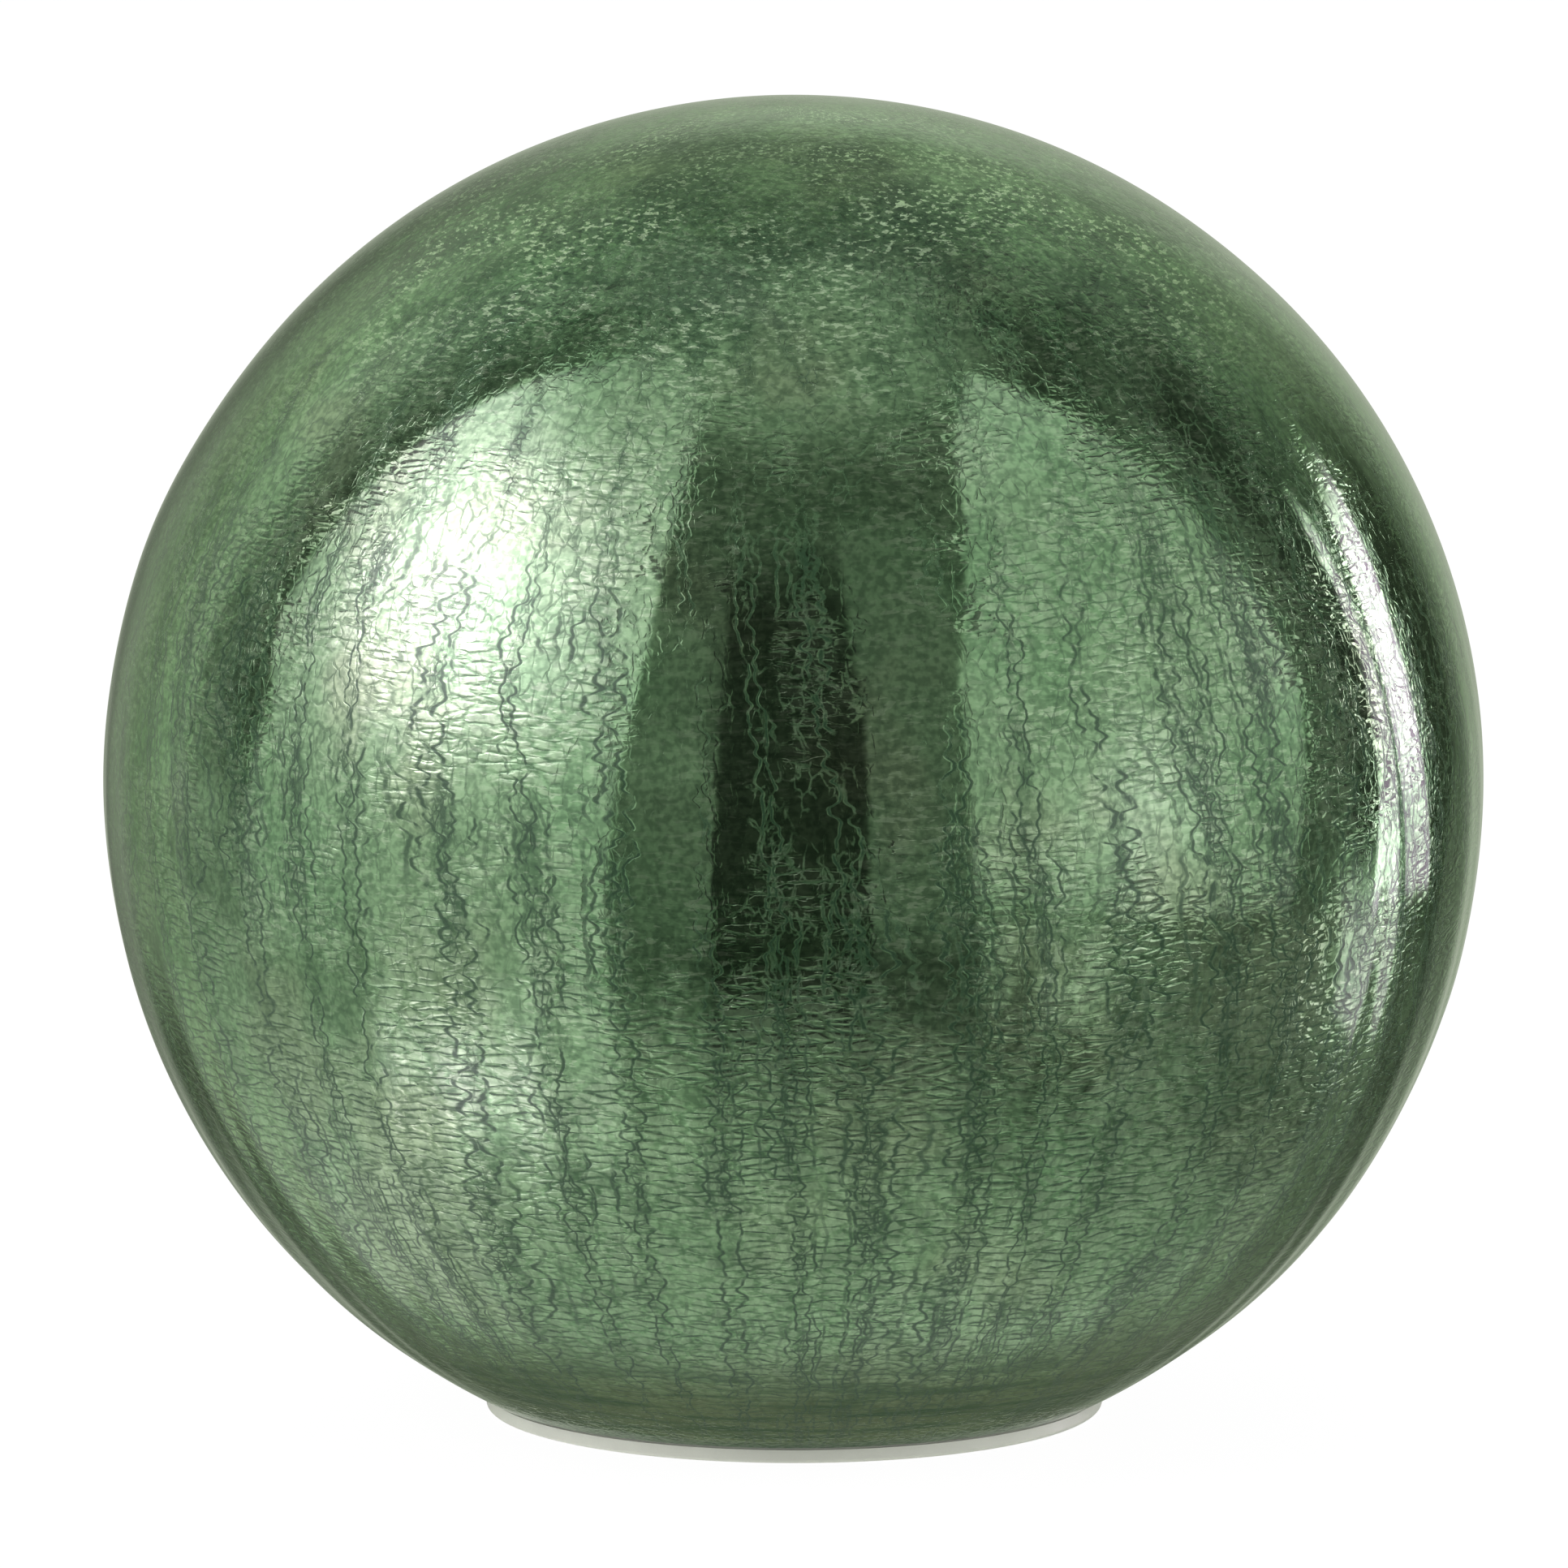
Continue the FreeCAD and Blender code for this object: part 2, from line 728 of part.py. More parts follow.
def make_base_tray():
    """The clear moulding: flange and foot ring, skirt, floor, battery bays, posts and snap lugs."""
    body = new_body("base_tray")
    shell = turn(
        body,
        [
            Corner(0, floor_under),
            Corner(foot_bore_radius, floor_under),
            Corner(foot_bore_radius, 0),
            Corner(flange_radius, 0),
            Corner(flange_radius, d.flange_thickness),
            Corner(skirt_radius, d.flange_thickness),
            Corner(skirt_radius, skirt_top),
            Corner(skirt_bore_radius, skirt_top),
            Corner(skirt_bore_radius, floor_level),
            Corner(0, floor_level),
        ],
    )
    round_ring_edges(body, shell, 0, flange_radius, d.flange_round)
    pad_loops(body, [centred_rectangle(0, 0, box_width, box_length)], bay_floor, roof_level)
    pad_circles(body, cover_screw_places(), d.post_diameter / 2, bay_floor, post_top)
    roof_middle = bay_ceiling + d.bay_roof / 2
    pad_circles(body, board_screw_places(), d.standoff_diameter / 2, roof_middle, board_under)

    cut_loops(
        body,
        [
            rounded_end_plate(
                door_width / 2 + d.door_clearance,
                hinge_y - d.barrel_diameter / 2 - d.door_end_clearance,
                door_edge_y + d.door_clearance,
                d.door_corner,
            )
        ],
        0,
        bay_floor,
    )
    groove_low = hinge_y - d.barrel_diameter / 2 - d.door_end_clearance
    cut_loops(
        body,
        [
            rectangle(
                -(door_width / 2 + d.door_clearance),
                groove_low,
                door_width / 2 + d.door_clearance,
                -box_length / 2,
            )
        ],
        0,
        hinge_level + d.barrel_diameter / 2 + d.door_clearance,
    )
    cut_loops(body, [centred_rectangle(0, 0, bays_width, bays_length)], 0, bay_ceiling)
    rib_length = bays_length - 2 * d.bay_rib_setback
    pad_loops(
        body,
        [centred_rectangle(side * bay_pitch / 2, 0, d.bay_rib, rib_length) for side in (-1, 1)],
        bay_ceiling - d.bay_rib_height,
        roof_middle,
    )

    hinge_line = new_sketch(body, "YZ_Plane")
    draw_circle(hinge_line, hinge_y, hinge_level, d.hinge_pin_diameter / 2 + d.hinge_pin_clearance)
    pocket(body, hinge_line, door_width + 2 * (d.hinge_pin_length + d.door_clearance), both_ways=True)

    shank_hole = d.cover_screw_diameter / 2 + d.screw_clearance
    head_hole = d.cover_screw_head / 2 + d.screw_clearance
    cut_circles(body, cover_screw_places(), shank_hole, 0, post_top + d.overrun)
    cut_circles(body, cover_screw_places(), head_hole, 0, screw_seat)
    pilot = d.board_screw_diameter / 2 + d.screw_clearance
    pilot_low = board_under - (d.board_screw_length - d.board_thickness) - d.screw_clearance
    cut_circles(body, board_screw_places(), pilot, pilot_low, board_under + d.overrun)
    slots = [
        centred_rectangle(
            x,
            y,
            d.tab_width + 2 * d.tab_slot_clearance,
            d.contact_thickness + 2 * d.tab_slot_clearance,
        )
        for x, y in tab_places()
    ]
    cut_loops(body, slots, bay_ceiling - d.overrun, roof_level + d.overrun)

    cut_circles(
        body, [(0, door_edge_y)], d.thumb_notch_diameter / 2, 0, floor_under + d.thumb_notch_depth
    )
    dish = centred_rectangle(switch_x, 0, d.dish_width, d.dish_length)
    cut_loops(body, [dish], 0, floor_under + d.dish_depth)
    slot_length = d.knob_length + 2 * (d.knob_travel + d.knob_clearance)
    slot = centred_rectangle(switch_x, 0, d.knob_width + 2 * d.knob_clearance, slot_length)
    cut_loops(body, [slot], 0, floor_level + d.overrun)
    cut_circles(
        body,
        switch_screw_places(),
        d.switch_screw_diameter / 2 + d.screw_clearance,
        floor_level - (d.switch_screw_length - d.switch_ear_thickness) - d.screw_clearance,
        floor_level + d.overrun,
    )
    add_snap_lugs(body)


def add_snap_lugs(body):
    """Lugs on the skirt that spring out over the inside of the glass rim."""
    lug_radius = skirt_radius + d.snap_reach
    lug_low = glass_height_at(lug_radius) + d.snap_gap
    sketch = new_sketch(body, lift=lug_low)
    draw_loop(
        sketch, rectangle(skirt_bore_radius, -d.snap_width / 2, lug_radius, d.snap_width / 2)
    )
    lug = pad(body, sketch, d.snap_height)
    pattern = body.newObject("PartDesign::PolarPattern", "Lugs")
    pattern.Originals = [lug]
    axis = next(part for part in body.Origin.OriginFeatures if part.Role == "Z_Axis")
    pattern.Axis = (axis, [""])
    pattern.Angle = FULL_TURN
    pattern.Occurrences = SNAP_COUNT
    body.Tip = pattern


def make_battery_door():
    """The door: a plate with a round hinge barrel, two pins, a latch tongue and grip ridges."""
    body = new_body("battery_door")
    half_width = door_width / 2
    pad_loops(
        body,
        [rounded_end_plate(half_width, hinge_y, door_edge_y, d.door_corner)],
        floor_under,
        door_inside,
    )
    barrel = new_sketch(body, "YZ_Plane")
    draw_circle(barrel, hinge_y, hinge_level, d.barrel_diameter / 2)
    pad(body, barrel, door_width, both_ways=True)
    pins = new_sketch(body, "YZ_Plane")
    draw_circle(pins, hinge_y, hinge_level, d.hinge_pin_diameter / 2)
    pad(body, pins, door_width + 2 * d.hinge_pin_length, both_ways=True)
    slit_x = (d.tongue_width + d.tongue_slit) / 2
    slits = [
        rectangle(
            side * slit_x - d.tongue_slit / 2,
            door_edge_y - d.tongue_length,
            side * slit_x + d.tongue_slit / 2,
            door_edge_y + d.overrun,
        )
        for side in (-1, 1)
    ]
    cut_loops(body, slits, 0, door_inside + d.overrun)
    ridges = [
        centred_rectangle(
            0,
            door_edge_y - (index + 1) * d.grip_ridge_pitch,
            d.tongue_width - 2 * d.tongue_slit,
            d.grip_ridge_width,
        )
        for index in range(GRIP_RIDGE_COUNT)
    ]
    pad_loops(body, ridges, floor_under - d.grip_ridge, floor_under + d.door_thickness / 2)


def make_cells():
    """Three cells side by side, each turned about from the one before."""
    can_radius = d.cell_diameter / 2
    nub_radius = d.nub_diameter / 2
    can_top = d.cell_length - d.nub_height
    nub_y = bays_length / 2 - d.contact_thickness - d.contact_gap
    for index in range(CELL_COUNT):
        body = new_body(f"battery_{index + 1}")
        turn(
            body,
            [
                Corner(0, 0),
                Corner(can_radius - d.cell_bevel, 0),
                Corner(can_radius, d.cell_bevel),
                Corner(can_radius, can_top - d.cell_bevel),
                Corner(can_radius - d.cell_bevel, can_top),
                Corner(nub_radius, can_top),
                Corner(nub_radius, d.cell_length),
                Corner(0, d.cell_length),
            ],
        )
        facing = 1 if index % 2 == 0 else -1
        x = (index - (CELL_COUNT - 1) / 2) * bay_pitch
        place(
            body,
            x,
            facing * (nub_y - d.cell_length),
            cell_axis_level,
            X_AXIS,
            -facing * QUARTER_TURN,
        )


def contact_plate(x, side, width):
    """A contact plate that stands against an end wall of the bays: side 1 is the back, -1 the front."""
    y = side * (bays_length / 2 - d.contact_thickness / 2)
    low = cell_axis_level - d.contact_height / 2
    return centred_block(x, y, low, (width, d.contact_thickness, d.contact_height))


def end_contact(x, side):
    """A single plate with a solder tab that goes up through the roof of the bays."""
    plate = contact_plate(x, side, d.contact_width)
    tab_low = cell_axis_level
    y = side * (bays_length / 2 - d.contact_thickness / 2)
    rise = roof_level + d.tab_rise - tab_low
    tab = centred_block(x, y, tab_low, (d.tab_width, d.contact_thickness, rise))
    return join([plate, tab])


def make_contacts():
    """Two end contacts and two bridges, which put the three cells in line."""
    keep("contact_positive", end_contact(-bay_pitch, 1))
    keep("contact_negative", end_contact(bay_pitch, -1))
    bridge_width = bay_pitch + d.contact_width
    keep("contact_bridge_rear", contact_plate(bay_pitch / 2, 1, bridge_width))
    keep("contact_bridge_front", contact_plate(-bay_pitch / 2, -1, bridge_width))


def corner_arc(before, corner, after, reach):
    """The arc that leaves the run before a corner and meets the run after it, a reach away on each."""
    back = (before - corner).normalize()
    on = (after - corner).normalize()
    half = back.getAngle(on) / 2
    radius = reach * math.tan(half)
    middle = corner + (back + on).normalize() * (radius / math.sin(half) - radius)
    return Part.Arc(corner + back * reach, middle, corner + on * reach).toShape()


def tube_along(path, radius):
    """A round solid along a path, whose section stands square to the path's start."""
    first = path.Edges[0]
    start = first.valueAt(first.FirstParameter)
    heading = first.tangentAt(first.FirstParameter)
    section = Part.Wire([Part.makeCircle(radius, start, heading)])
    return path.makePipeShell([section], True, False)


def two_arcs(start, heading, finish, final_heading):
    """Two arcs of equal reach that join two points, each tangent to its point's heading and the other."""
    span = finish - start
    both = heading + final_heading
    along = span.dot(both)
    square = both.dot(both) - 4
    reach = (along - math.sqrt(along * along - square * span.dot(span))) / square
    first_corner = start + heading * reach
    second_corner = finish - final_heading * reach
    return [
        corner_arc(start, first_corner, second_corner, reach),
        corner_arc(first_corner, second_corner, finish, reach),
    ]


class Coil:
    """Turns about Z from a start angle, with a radius and a level that change evenly."""

    def __init__(self, turns, start_angle, radius, last_radius, level, last_level):
        self.turns = turns
        self.start_angle = start_angle
        self.radius = radius
        self.radius_step = (last_radius - radius) / turns
        self.level = level
        self.level_step = (last_level - level) / turns

    def point(self, turns):
        angle = self.start_angle + 2 * math.pi * turns
        radius = self.radius + self.radius_step * turns
        height = self.level + self.level_step * turns
        return FreeCAD.Vector(radius * math.cos(angle), radius * math.sin(angle), height)

    def heading(self, turns):
        angle = self.start_angle + 2 * math.pi * turns
        across = 2 * math.pi * (self.radius + self.radius_step * turns)
        out = self.radius_step
        direction = FreeCAD.Vector(
            out * math.cos(angle) - across * math.sin(angle),
            out * math.sin(angle) + across * math.cos(angle),
            self.level_step,
        )
        return direction.normalize()

    def edges(self):
        """The coil as two arcs for each half turn."""
        edges = []
        for index in range(2 * self.turns):
            begin, end = index / 2, (index + 1) / 2
            edges += two_arcs(
                self.point(begin), self.heading(begin), self.point(end), self.heading(end)
            )
        return edges

    def least_gap(self, diameter):
        """The least clear distance between the wire and its next turn, measured on points."""
        steps = range(self.turns * POINTS_A_TURN + 1)
        points = [self.point(index / POINTS_A_TURN) for index in steps]
        half = POINTS_A_TURN // 2
        apart = [
            (points[later] - points[index]).Length
            for index in steps
            for later in range(index + half, len(points))
        ]
        return min(apart) - diameter


def make_contact_springs():
    """Conical springs between each cell's flat end and its contact."""
    wire_radius = d.spring_wire.value / 2
    rest = (d.contact_thickness + d.contact_gap).value + wire_radius
    coil = Coil(
        SPRING_TURNS,
        0,
        (d.spring_base_diameter.value - d.spring_wire.value) / 2,
        (d.spring_tip_diameter.value - d.spring_wire.value) / 2,
        0,
        d.spring_length.value - d.spring_wire.value - 2 * d.contact_gap.value,
    )
    print(f"contact spring: least gap between turns {coil.least_gap(d.spring_wire.value):.2f} mm")
    spring = tube_along(Part.Wire(coil.edges()), wire_radius)
    foot_y = bays_length.value / 2 - rest
    for index in range(CELL_COUNT):
        facing = 1 if index % 2 == 0 else -1
        x = ((index - (CELL_COUNT - 1) / 2) * bay_pitch).value
        feature = own_shape(f"contact_spring_{index + 1}", spring)
        feature.Placement = FreeCAD.Placement(
            FreeCAD.Vector(x, -facing * foot_y, cell_axis_level.value),
            FreeCAD.Rotation(X_AXIS, -facing * QUARTER_TURN),
        )


def make_screws(name, places, seat, upwards, shank, head, head_height, length):
    """Screws with a round head and a cross recess, as one group."""
    screws = []
    recess_depth = head_height / 2
    recess_width = head / 5
    recess_length = head * 3 / 5
    for x, y in places:
        if upwards:
            shank_low, head_low, recess_low = seat, seat - head_height, seat - head_height
        else:
            shank_low, head_low = seat - length, seat
            recess_low = seat + head_height - recess_depth
        shaft = rod(x, y, shank_low, shank / 2, length)
        screw = join([shaft, rod(x, y, head_low, head / 2, head_height)])
        cross = [
            centred_block(x, y, recess_low, (recess_length, recess_width, recess_depth)),
            centred_block(x, y, recess_low, (recess_width, recess_length, recess_depth)),
        ]
        screws.append(cut_away(screw, cross))
    keep(name, group(screws))


def make_top_cover():
    """The cap over the electronics, with a seat for the tube, four screw bosses and the gland hole."""
    body = new_body("top_cover")
    wall_bore = skirt_radius - d.cover_wall
    lip_outside = skirt_bore_radius - d.lip_clearance
    lip_inside = lip_outside - d.lip_wall
    seat_outside = former_radius - d.former_wall - d.former_fit
    seat_inside = seat_outside - d.seat_wall
    seat_top = cover_level + d.seat_height
    turn(
        body,
        [
            Corner(0, cover_under),
            Corner(wall_bore, cover_under),
            Corner(wall_bore, skirt_top + d.lip_root),
            Corner(lip_inside, skirt_top + d.lip_root),
            Corner(lip_inside, skirt_top - d.lip_height),
            Corner(lip_outside, skirt_top - d.lip_height),
            Corner(lip_outside, skirt_top),
            Corner(skirt_radius, skirt_top),
            Corner(skirt_radius, cover_level - d.cover_bevel),
            Corner(skirt_radius - d.cover_bevel, cover_level),
            Corner(seat_outside, cover_level),
            Corner(seat_outside, seat_top),
            Corner(seat_inside, seat_top),
            Corner(seat_inside, cover_level),
            Corner(0, cover_level),
        ],
    )
    pad_circles(body, cover_screw_places(), d.boss_diameter / 2, post_top, cover_level - d.cover_top / 2)
    pilot = d.cover_screw_diameter / 2 + d.screw_clearance
    pilot_top = screw_seat + d.cover_screw_length + d.overrun
    cut_circles(body, cover_screw_places(), pilot, post_top - d.overrun, pilot_top)
    gland_hole = d.grommet_neck_diameter / 2 + d.grommet_neck_clearance
    cut_circles(body, [(gland_x, gland_y)], gland_hole, cover_under - d.overrun, cover_level + d.overrun)


def make_grommet():
    """The rubber gland that the string's lead passes, held by a flange on each side of the cover."""
    body = new_body("gland_grommet")
    bore = d.string_lead_diameter / 2 + d.grommet_bore_clearance
    neck = d.grommet_neck_diameter / 2
    flange = d.grommet_flange_diameter / 2
    turn(
        body,
        [
            Corner(bore, cover_under - d.grommet_flange_thickness),
            Corner(flange, cover_under - d.grommet_flange_thickness),
            Corner(flange, cover_under),
            Corner(neck, cover_under),
            Corner(neck, cover_level),
            Corner(flange, cover_level),
            Corner(flange, cover_level + d.grommet_flange_thickness),
            Corner(bore, cover_level + d.grommet_flange_thickness),
        ],
    )
    place(body, gland_x, gland_y)


def make_control_board():
    """The timer board, with holes for its two screws."""
    body = new_body("control_board")
    outline = rounded_plate(board_half_length, board_half_width, d.board_corner)
    pad_loops(body, [outline], board_under, board_level)
    hole = d.board_screw_diameter / 2 + d.screw_clearance
    cut_circles(body, board_screw_places(), hole, board_under - d.overrun, board_level + d.overrun)


def make_timer_chip():
    """The timer chip with its bent legs."""
    middle_y = board_half_width - d.chip_inset
    parts = [
        centred_block(
            0,
            middle_y,
            board_level + d.leg_thickness,
            (d.chip_length, d.chip_width, d.chip_height),
        )
    ]
    for side in (-1, 1):
        for index in range(LEGS_A_SIDE):
            x = (index - (LEGS_A_SIDE - 1) / 2) * d.leg_pitch
            foot_y = middle_y + side * (d.chip_width + d.leg_reach) / 2
            foot = (d.leg_width, d.leg_reach, d.leg_thickness)
            parts.append(centred_block(x, foot_y, board_level, foot))
            shin = (d.leg_width, d.leg_thickness, d.chip_height / 2 + d.leg_thickness)
            shin_y = middle_y + side * (d.chip_width + d.leg_thickness) / 2
            parts.append(centred_block(x, shin_y, board_level, shin))
    keep("timer_chip", join(parts))


def make_board_parts():
    """The capacitor, the crystal's can and the small resistors on the board."""
    body = new_body("board_capacitor")
    radius = d.capacitor_diameter / 2
    waist = d.capacitor_height / 5
    turn(
        body,
        [
            Corner(0, 0),
            Corner(radius, 0),
            Corner(radius, waist),
            Corner(radius - d.capacitor_groove, waist + d.capacitor_groove),
            Corner(radius, waist + 2 * d.capacitor_groove),
            Corner(radius, d.capacitor_height - d.capacitor_groove),
            Corner(radius - d.capacitor_groove, d.capacitor_height),
            Corner(0, d.capacitor_height),
        ],
    )
    place(body, d.capacitor_x, d.capacitor_inset - board_half_width, board_level)

    can = rod(
        -(d.crystal_x + d.crystal_length / 2),
        d.crystal_inset - board_half_width,
        board_level + d.crystal_diameter / 2 + d.crystal_lift,
        d.crystal_diameter / 2,
        d.crystal_length,
        Y_AXIS,
        QUARTER_TURN,
    )
    keep("timer_crystal", can)

    chips = [
        centred_block(
            -d.resistor_x - index * d.resistor_pitch,
            board_half_width - d.resistor_inset,
            board_level,
            (d.resistor_width, d.resistor_length, d.resistor_height),
        )
        for index in range(RESISTOR_COUNT)
    ]
    keep("board_resistors", group(chips))


def make_switch():
    """The slide switch: steel frame with ears, terminal board with pins, and the moulded knob."""
    case = centred_block(
        switch_x, 0, floor_level, (d.switch_width, d.switch_length, d.switch_height)
    )
    ears = centred_block(
        switch_x,
        0,
        floor_level,
        (d.switch_width, d.switch_length + 2 * d.switch_ear, d.switch_ear_thickness),
    )
    inside = centred_block(
        switch_x,
        0,
        floor_level + d.switch_wall,
        (d.switch_width - 2 * d.switch_wall, d.switch_length - 2 * d.switch_wall, d.switch_height),
    )
    slot_length = d.knob_length + 2 * (d.knob_travel + d.knob_clearance)
    slot = centred_block(
        switch_x,
        0,
        floor_level - d.overrun,
        (d.knob_width + 2 * d.knob_clearance, slot_length, 2 * d.overrun),
    )
    ear_holes = [
        rod(
            x,
            y,
            floor_level - d.overrun,
            d.switch_screw_diameter / 2 + d.screw_clearance,
            d.switch_ear_thickness + 2 * d.overrun,
        )
        for x, y in switch_screw_places()
    ]
    keep("switch_frame", cut_away(join([case, ears]), [inside, slot] + ear_holes))

    board = centred_block(
        switch_x,
        0,
        switch_roof,
        (d.switch_width, d.switch_length, d.terminal_board),
    )
    pins = [
        centred_block(
            switch_x,
            side * d.pin_pitch * (index + 1 / 2),
            switch_roof,
            (d.pin_thickness, d.pin_width, d.terminal_board + d.pin_height),
        )
        for side in (-1, 1)
        for index in range(SWITCH_PINS_A_SIDE)
    ]
    keep("switch_terminals", join([board] + pins))

    slider_low = floor_level + d.switch_wall + d.knob_clearance + d.slider_lift
    stem = centred_block(
        switch_x,
        0,
        d.knob_table_gap,
        (d.knob_width, d.knob_length, slider_low + d.slider_thickness - d.knob_table_gap),
    )
    slider = centred_block(
        switch_x, 0, slider_low, (slider_width, d.slider_length, d.slider_thickness)
    )
    keep("switch_knob", join([stem, slider]))


def rounded_route(points, reaches):
    """A path of straight runs joined by arcs, one reach for each inner point."""
    edges = []
    start = points[0]
    for before, corner, after, reach in zip(points, points[1:], points[2:], reaches):
        arc = corner_arc(before, corner, after, reach)
        arc_start, arc_end = [vertex.Point for vertex in arc.Vertexes]
        edges.append(Part.LineSegment(start, arc_start).toShape())
        edges.append(arc)
        start = arc_end
    edges.append(Part.LineSegment(start, points[-1]).toShape())
    return Part.Wire(edges)


def looped_lead(from_x, from_y, from_level, to_x, to_y):
    """A lead that rises from a contact, crosses over and comes down on the board."""
    points = [
        FreeCAD.Vector(x.value, y.value, level.value)
        for x, y, level in (
            (from_x, from_y, from_level),
            (from_x, from_y, lead_top),
            (to_x, to_y, lead_top),
            (to_x, to_y, board_level),
        )
    ]
    runs = [(after - before).Length for before, after in zip(points, points[1:])]
    reaches = [min(run, following) / 2 for run, following in zip(runs, runs[1:])]
    return tube_along(rounded_route(points, reaches), d.lead_diameter.value / 2)


def make_leads():
    """The leads from the battery contacts and from the switch to the board."""
    tab_top = roof_level + d.tab_rise
    landing_y = board_half_width - d.lead_landing_inset
    (back_x, back_y), (front_x, front_y) = tab_places()
    own_shape("battery_lead_red", looped_lead(back_x, back_y, tab_top, back_x, landing_y))
    own_shape("battery_lead_black", looped_lead(front_x, front_y, tab_top, front_x, -landing_y))
    pin_top = switch_roof + d.terminal_board + d.pin_height
    pin_reach = d.pin_pitch * 3 / 2
    landing_x = board_half_length - d.switch_lead_landing_inset
    leads = [
        looped_lead(switch_x, side * pin_reach, pin_top, landing_x, side * pin_reach) for side in (-1, 1)
    ]
    own_shape("switch_leads", Part.makeCompound(leads))


def make_light_former():
    """The clear tube that stands on the cover's seat and carries the winding."""
    body = new_body("light_former")
    sketch = new_sketch(body, lift=cover_level)
    draw_circle(sketch, 0, 0, former_radius)
    draw_circle(sketch, 0, 0, former_radius - d.former_wall)
    pad(body, sketch, d.former_height)


def make_string_lead():
    """The string's insulated lead from the board up through the gland, and the sleeve over its end."""
    lead = rod(
        gland_x, gland_y, board_level, d.string_lead_diameter / 2, wire_start - board_level
    )
    keep("string_lead", lead)

    body = new_body("splice_sleeve")
    lead_bore = d.string_lead_diameter / 2 + d.sleeve_clearance
    wire_bore = d.wire_diameter / 2 + d.sleeve_clearance
    turn(
        body,
        [
            Corner(lead_bore, sleeve_level),
            Corner(lead_bore + d.sleeve_wall, sleeve_level),
            Corner(lead_bore + d.sleeve_wall, wire_start + d.sleeve_lap / 2),
            Corner(wire_bore + d.sleeve_wall, sleeve_top),
            Corner(wire_bore, sleeve_top),
            Corner(wire_bore, wire_start + d.sleeve_lap / 2),
            Corner(lead_bore, wire_start),
        ],
    )
    place(body, gland_x, gland_y)


def winding():
    """The wire's coil on the tube, which starts on the -X side."""
    return Coil(
        WINDING_TURNS,
        math.pi,
        winding_radius.value,
        winding_radius.value,
        winding_level.value,
        winding_top.value,
    )


def winding_path(coil):
    """The wire's path: up out of the sleeve, over a bend and round the tube."""
    bend = d.wire_bend_radius.value
    foot = FreeCAD.Vector(gland_x.value, gland_y.value, wire_start.value)
    bend_start = FreeCAD.Vector(gland_x.value, gland_y.value, bend_level.value)
    bend_centre = bend_start - Y_AXIS * bend
    bend_end = coil.point(0)
    halfway = (bend_start - bend_centre) + (bend_end - bend_centre)
    bend_middle = bend_centre + halfway.normalize() * bend
    edges = [
        Part.LineSegment(foot, bend_start).toShape(),
        Part.Arc(bend_start, bend_middle, bend_end).toShape(),
    ]
    return Part.Wire(edges + coil.edges())


def light_drop():
    """One resin drop: a barrel of revolution about X, with small flat ends where the wire passes."""
    half = d.drop_length.value / 2
    end = d.drop_end_diameter.value / 2
    belly = d.drop_diameter.value / 2
    left = FreeCAD.Vector(-half, end, 0)
    right = FreeCAD.Vector(half, end, 0)
    outline = [
        Part.Arc(left, FreeCAD.Vector(0, belly, 0), right).toShape(),
        Part.LineSegment(right, FreeCAD.Vector(half, 0, 0)).toShape(),
        Part.LineSegment(FreeCAD.Vector(half, 0, 0), FreeCAD.Vector(-half, 0, 0)).toShape(),
        Part.LineSegment(FreeCAD.Vector(-half, 0, 0), left).toShape(),
    ]
    face = Part.Face(Part.Wire(outline))
    return face.revolve(FreeCAD.Vector(0, 0, 0), X_AXIS, FULL_TURN)


def make_winding():
    """The wound wire and the light drops spaced evenly along it."""
    coil = winding()
    path = winding_path(coil)
    wire = tube_along(path, d.wire_diameter.value / 2)
    expected = math.pi * (d.wire_diameter.value / 2) ** 2 * path.Length
    print(f"light wire: {path.Length:.0f} mm long, volume {wire.Volume:.1f} of {expected:.1f} mm3")
    print(f"light wire: least gap between turns {coil.least_gap(d.wire_diameter.value):.2f} mm")
    own_shape("led_wire", wire)
    drops = []
    for index in range(DROP_COUNT):
        turns = WINDING_TURNS * (index + 1 / 2) / DROP_COUNT
        drop = light_drop()
        drop.Placement = FreeCAD.Placement(
            coil.point(turns), FreeCAD.Rotation(X_AXIS, coil.heading(turns))
        )
        drops.append(drop)
    own_shape("led_drops", Part.makeCompound(drops))


def make_all():
    make_glass_ball()
    make_rim_seal()
    make_base_tray()
    make_battery_door()
    make_cells()
    make_contacts()
    make_contact_springs()
    make_top_cover()
    make_grommet()
    make_control_board()
    make_timer_chip()
    make_board_parts()
    make_switch()
    make_screws(
        "cover_screws",
        cover_screw_places(),
        screw_seat,
        True,
        d.cover_screw_diameter,
        d.cover_screw_head,
        d.cover_screw_head_height,
        d.cover_screw_length,
    )
    make_screws(
        "board_screws",
        board_screw_places(),
        board_level,
        False,
        d.board_screw_diameter,
        d.board_screw_head,
        d.board_screw_head_height,
        d.board_screw_length,
    )
    make_screws(
        "switch_screws",
        switch_screw_places(),
        floor_level + d.switch_ear_thickness,
        False,
        d.switch_screw_diameter,
        d.switch_screw_head,
        d.switch_screw_head_height,
        d.switch_screw_length,
    )
    make_leads()
    make_light_former()
    make_string_lead()
    make_winding()


def check_and_write():
    """Stops on any failed feature or broken shape, then writes one file for each piece."""
    doc.recompute()
    for feature in doc.Objects:
        if "Invalid" in feature.State or "Error" in feature.State:
            raise RuntimeError(f"{feature.Label} ({feature.Name}) failed: {feature.State}")
    os.makedirs("parts", exist_ok=True)
    for name, feature in pieces.items():
        shape = feature.Shape
        if shape.isNull() or not shape.isValid() or not shape.Solids:
            raise RuntimeError(f"{name} has no valid solid")
        shape.exportStep(f"parts/{name}.step")
    print(f"{len(pieces)} pieces written")


make_all()
check_and_write()
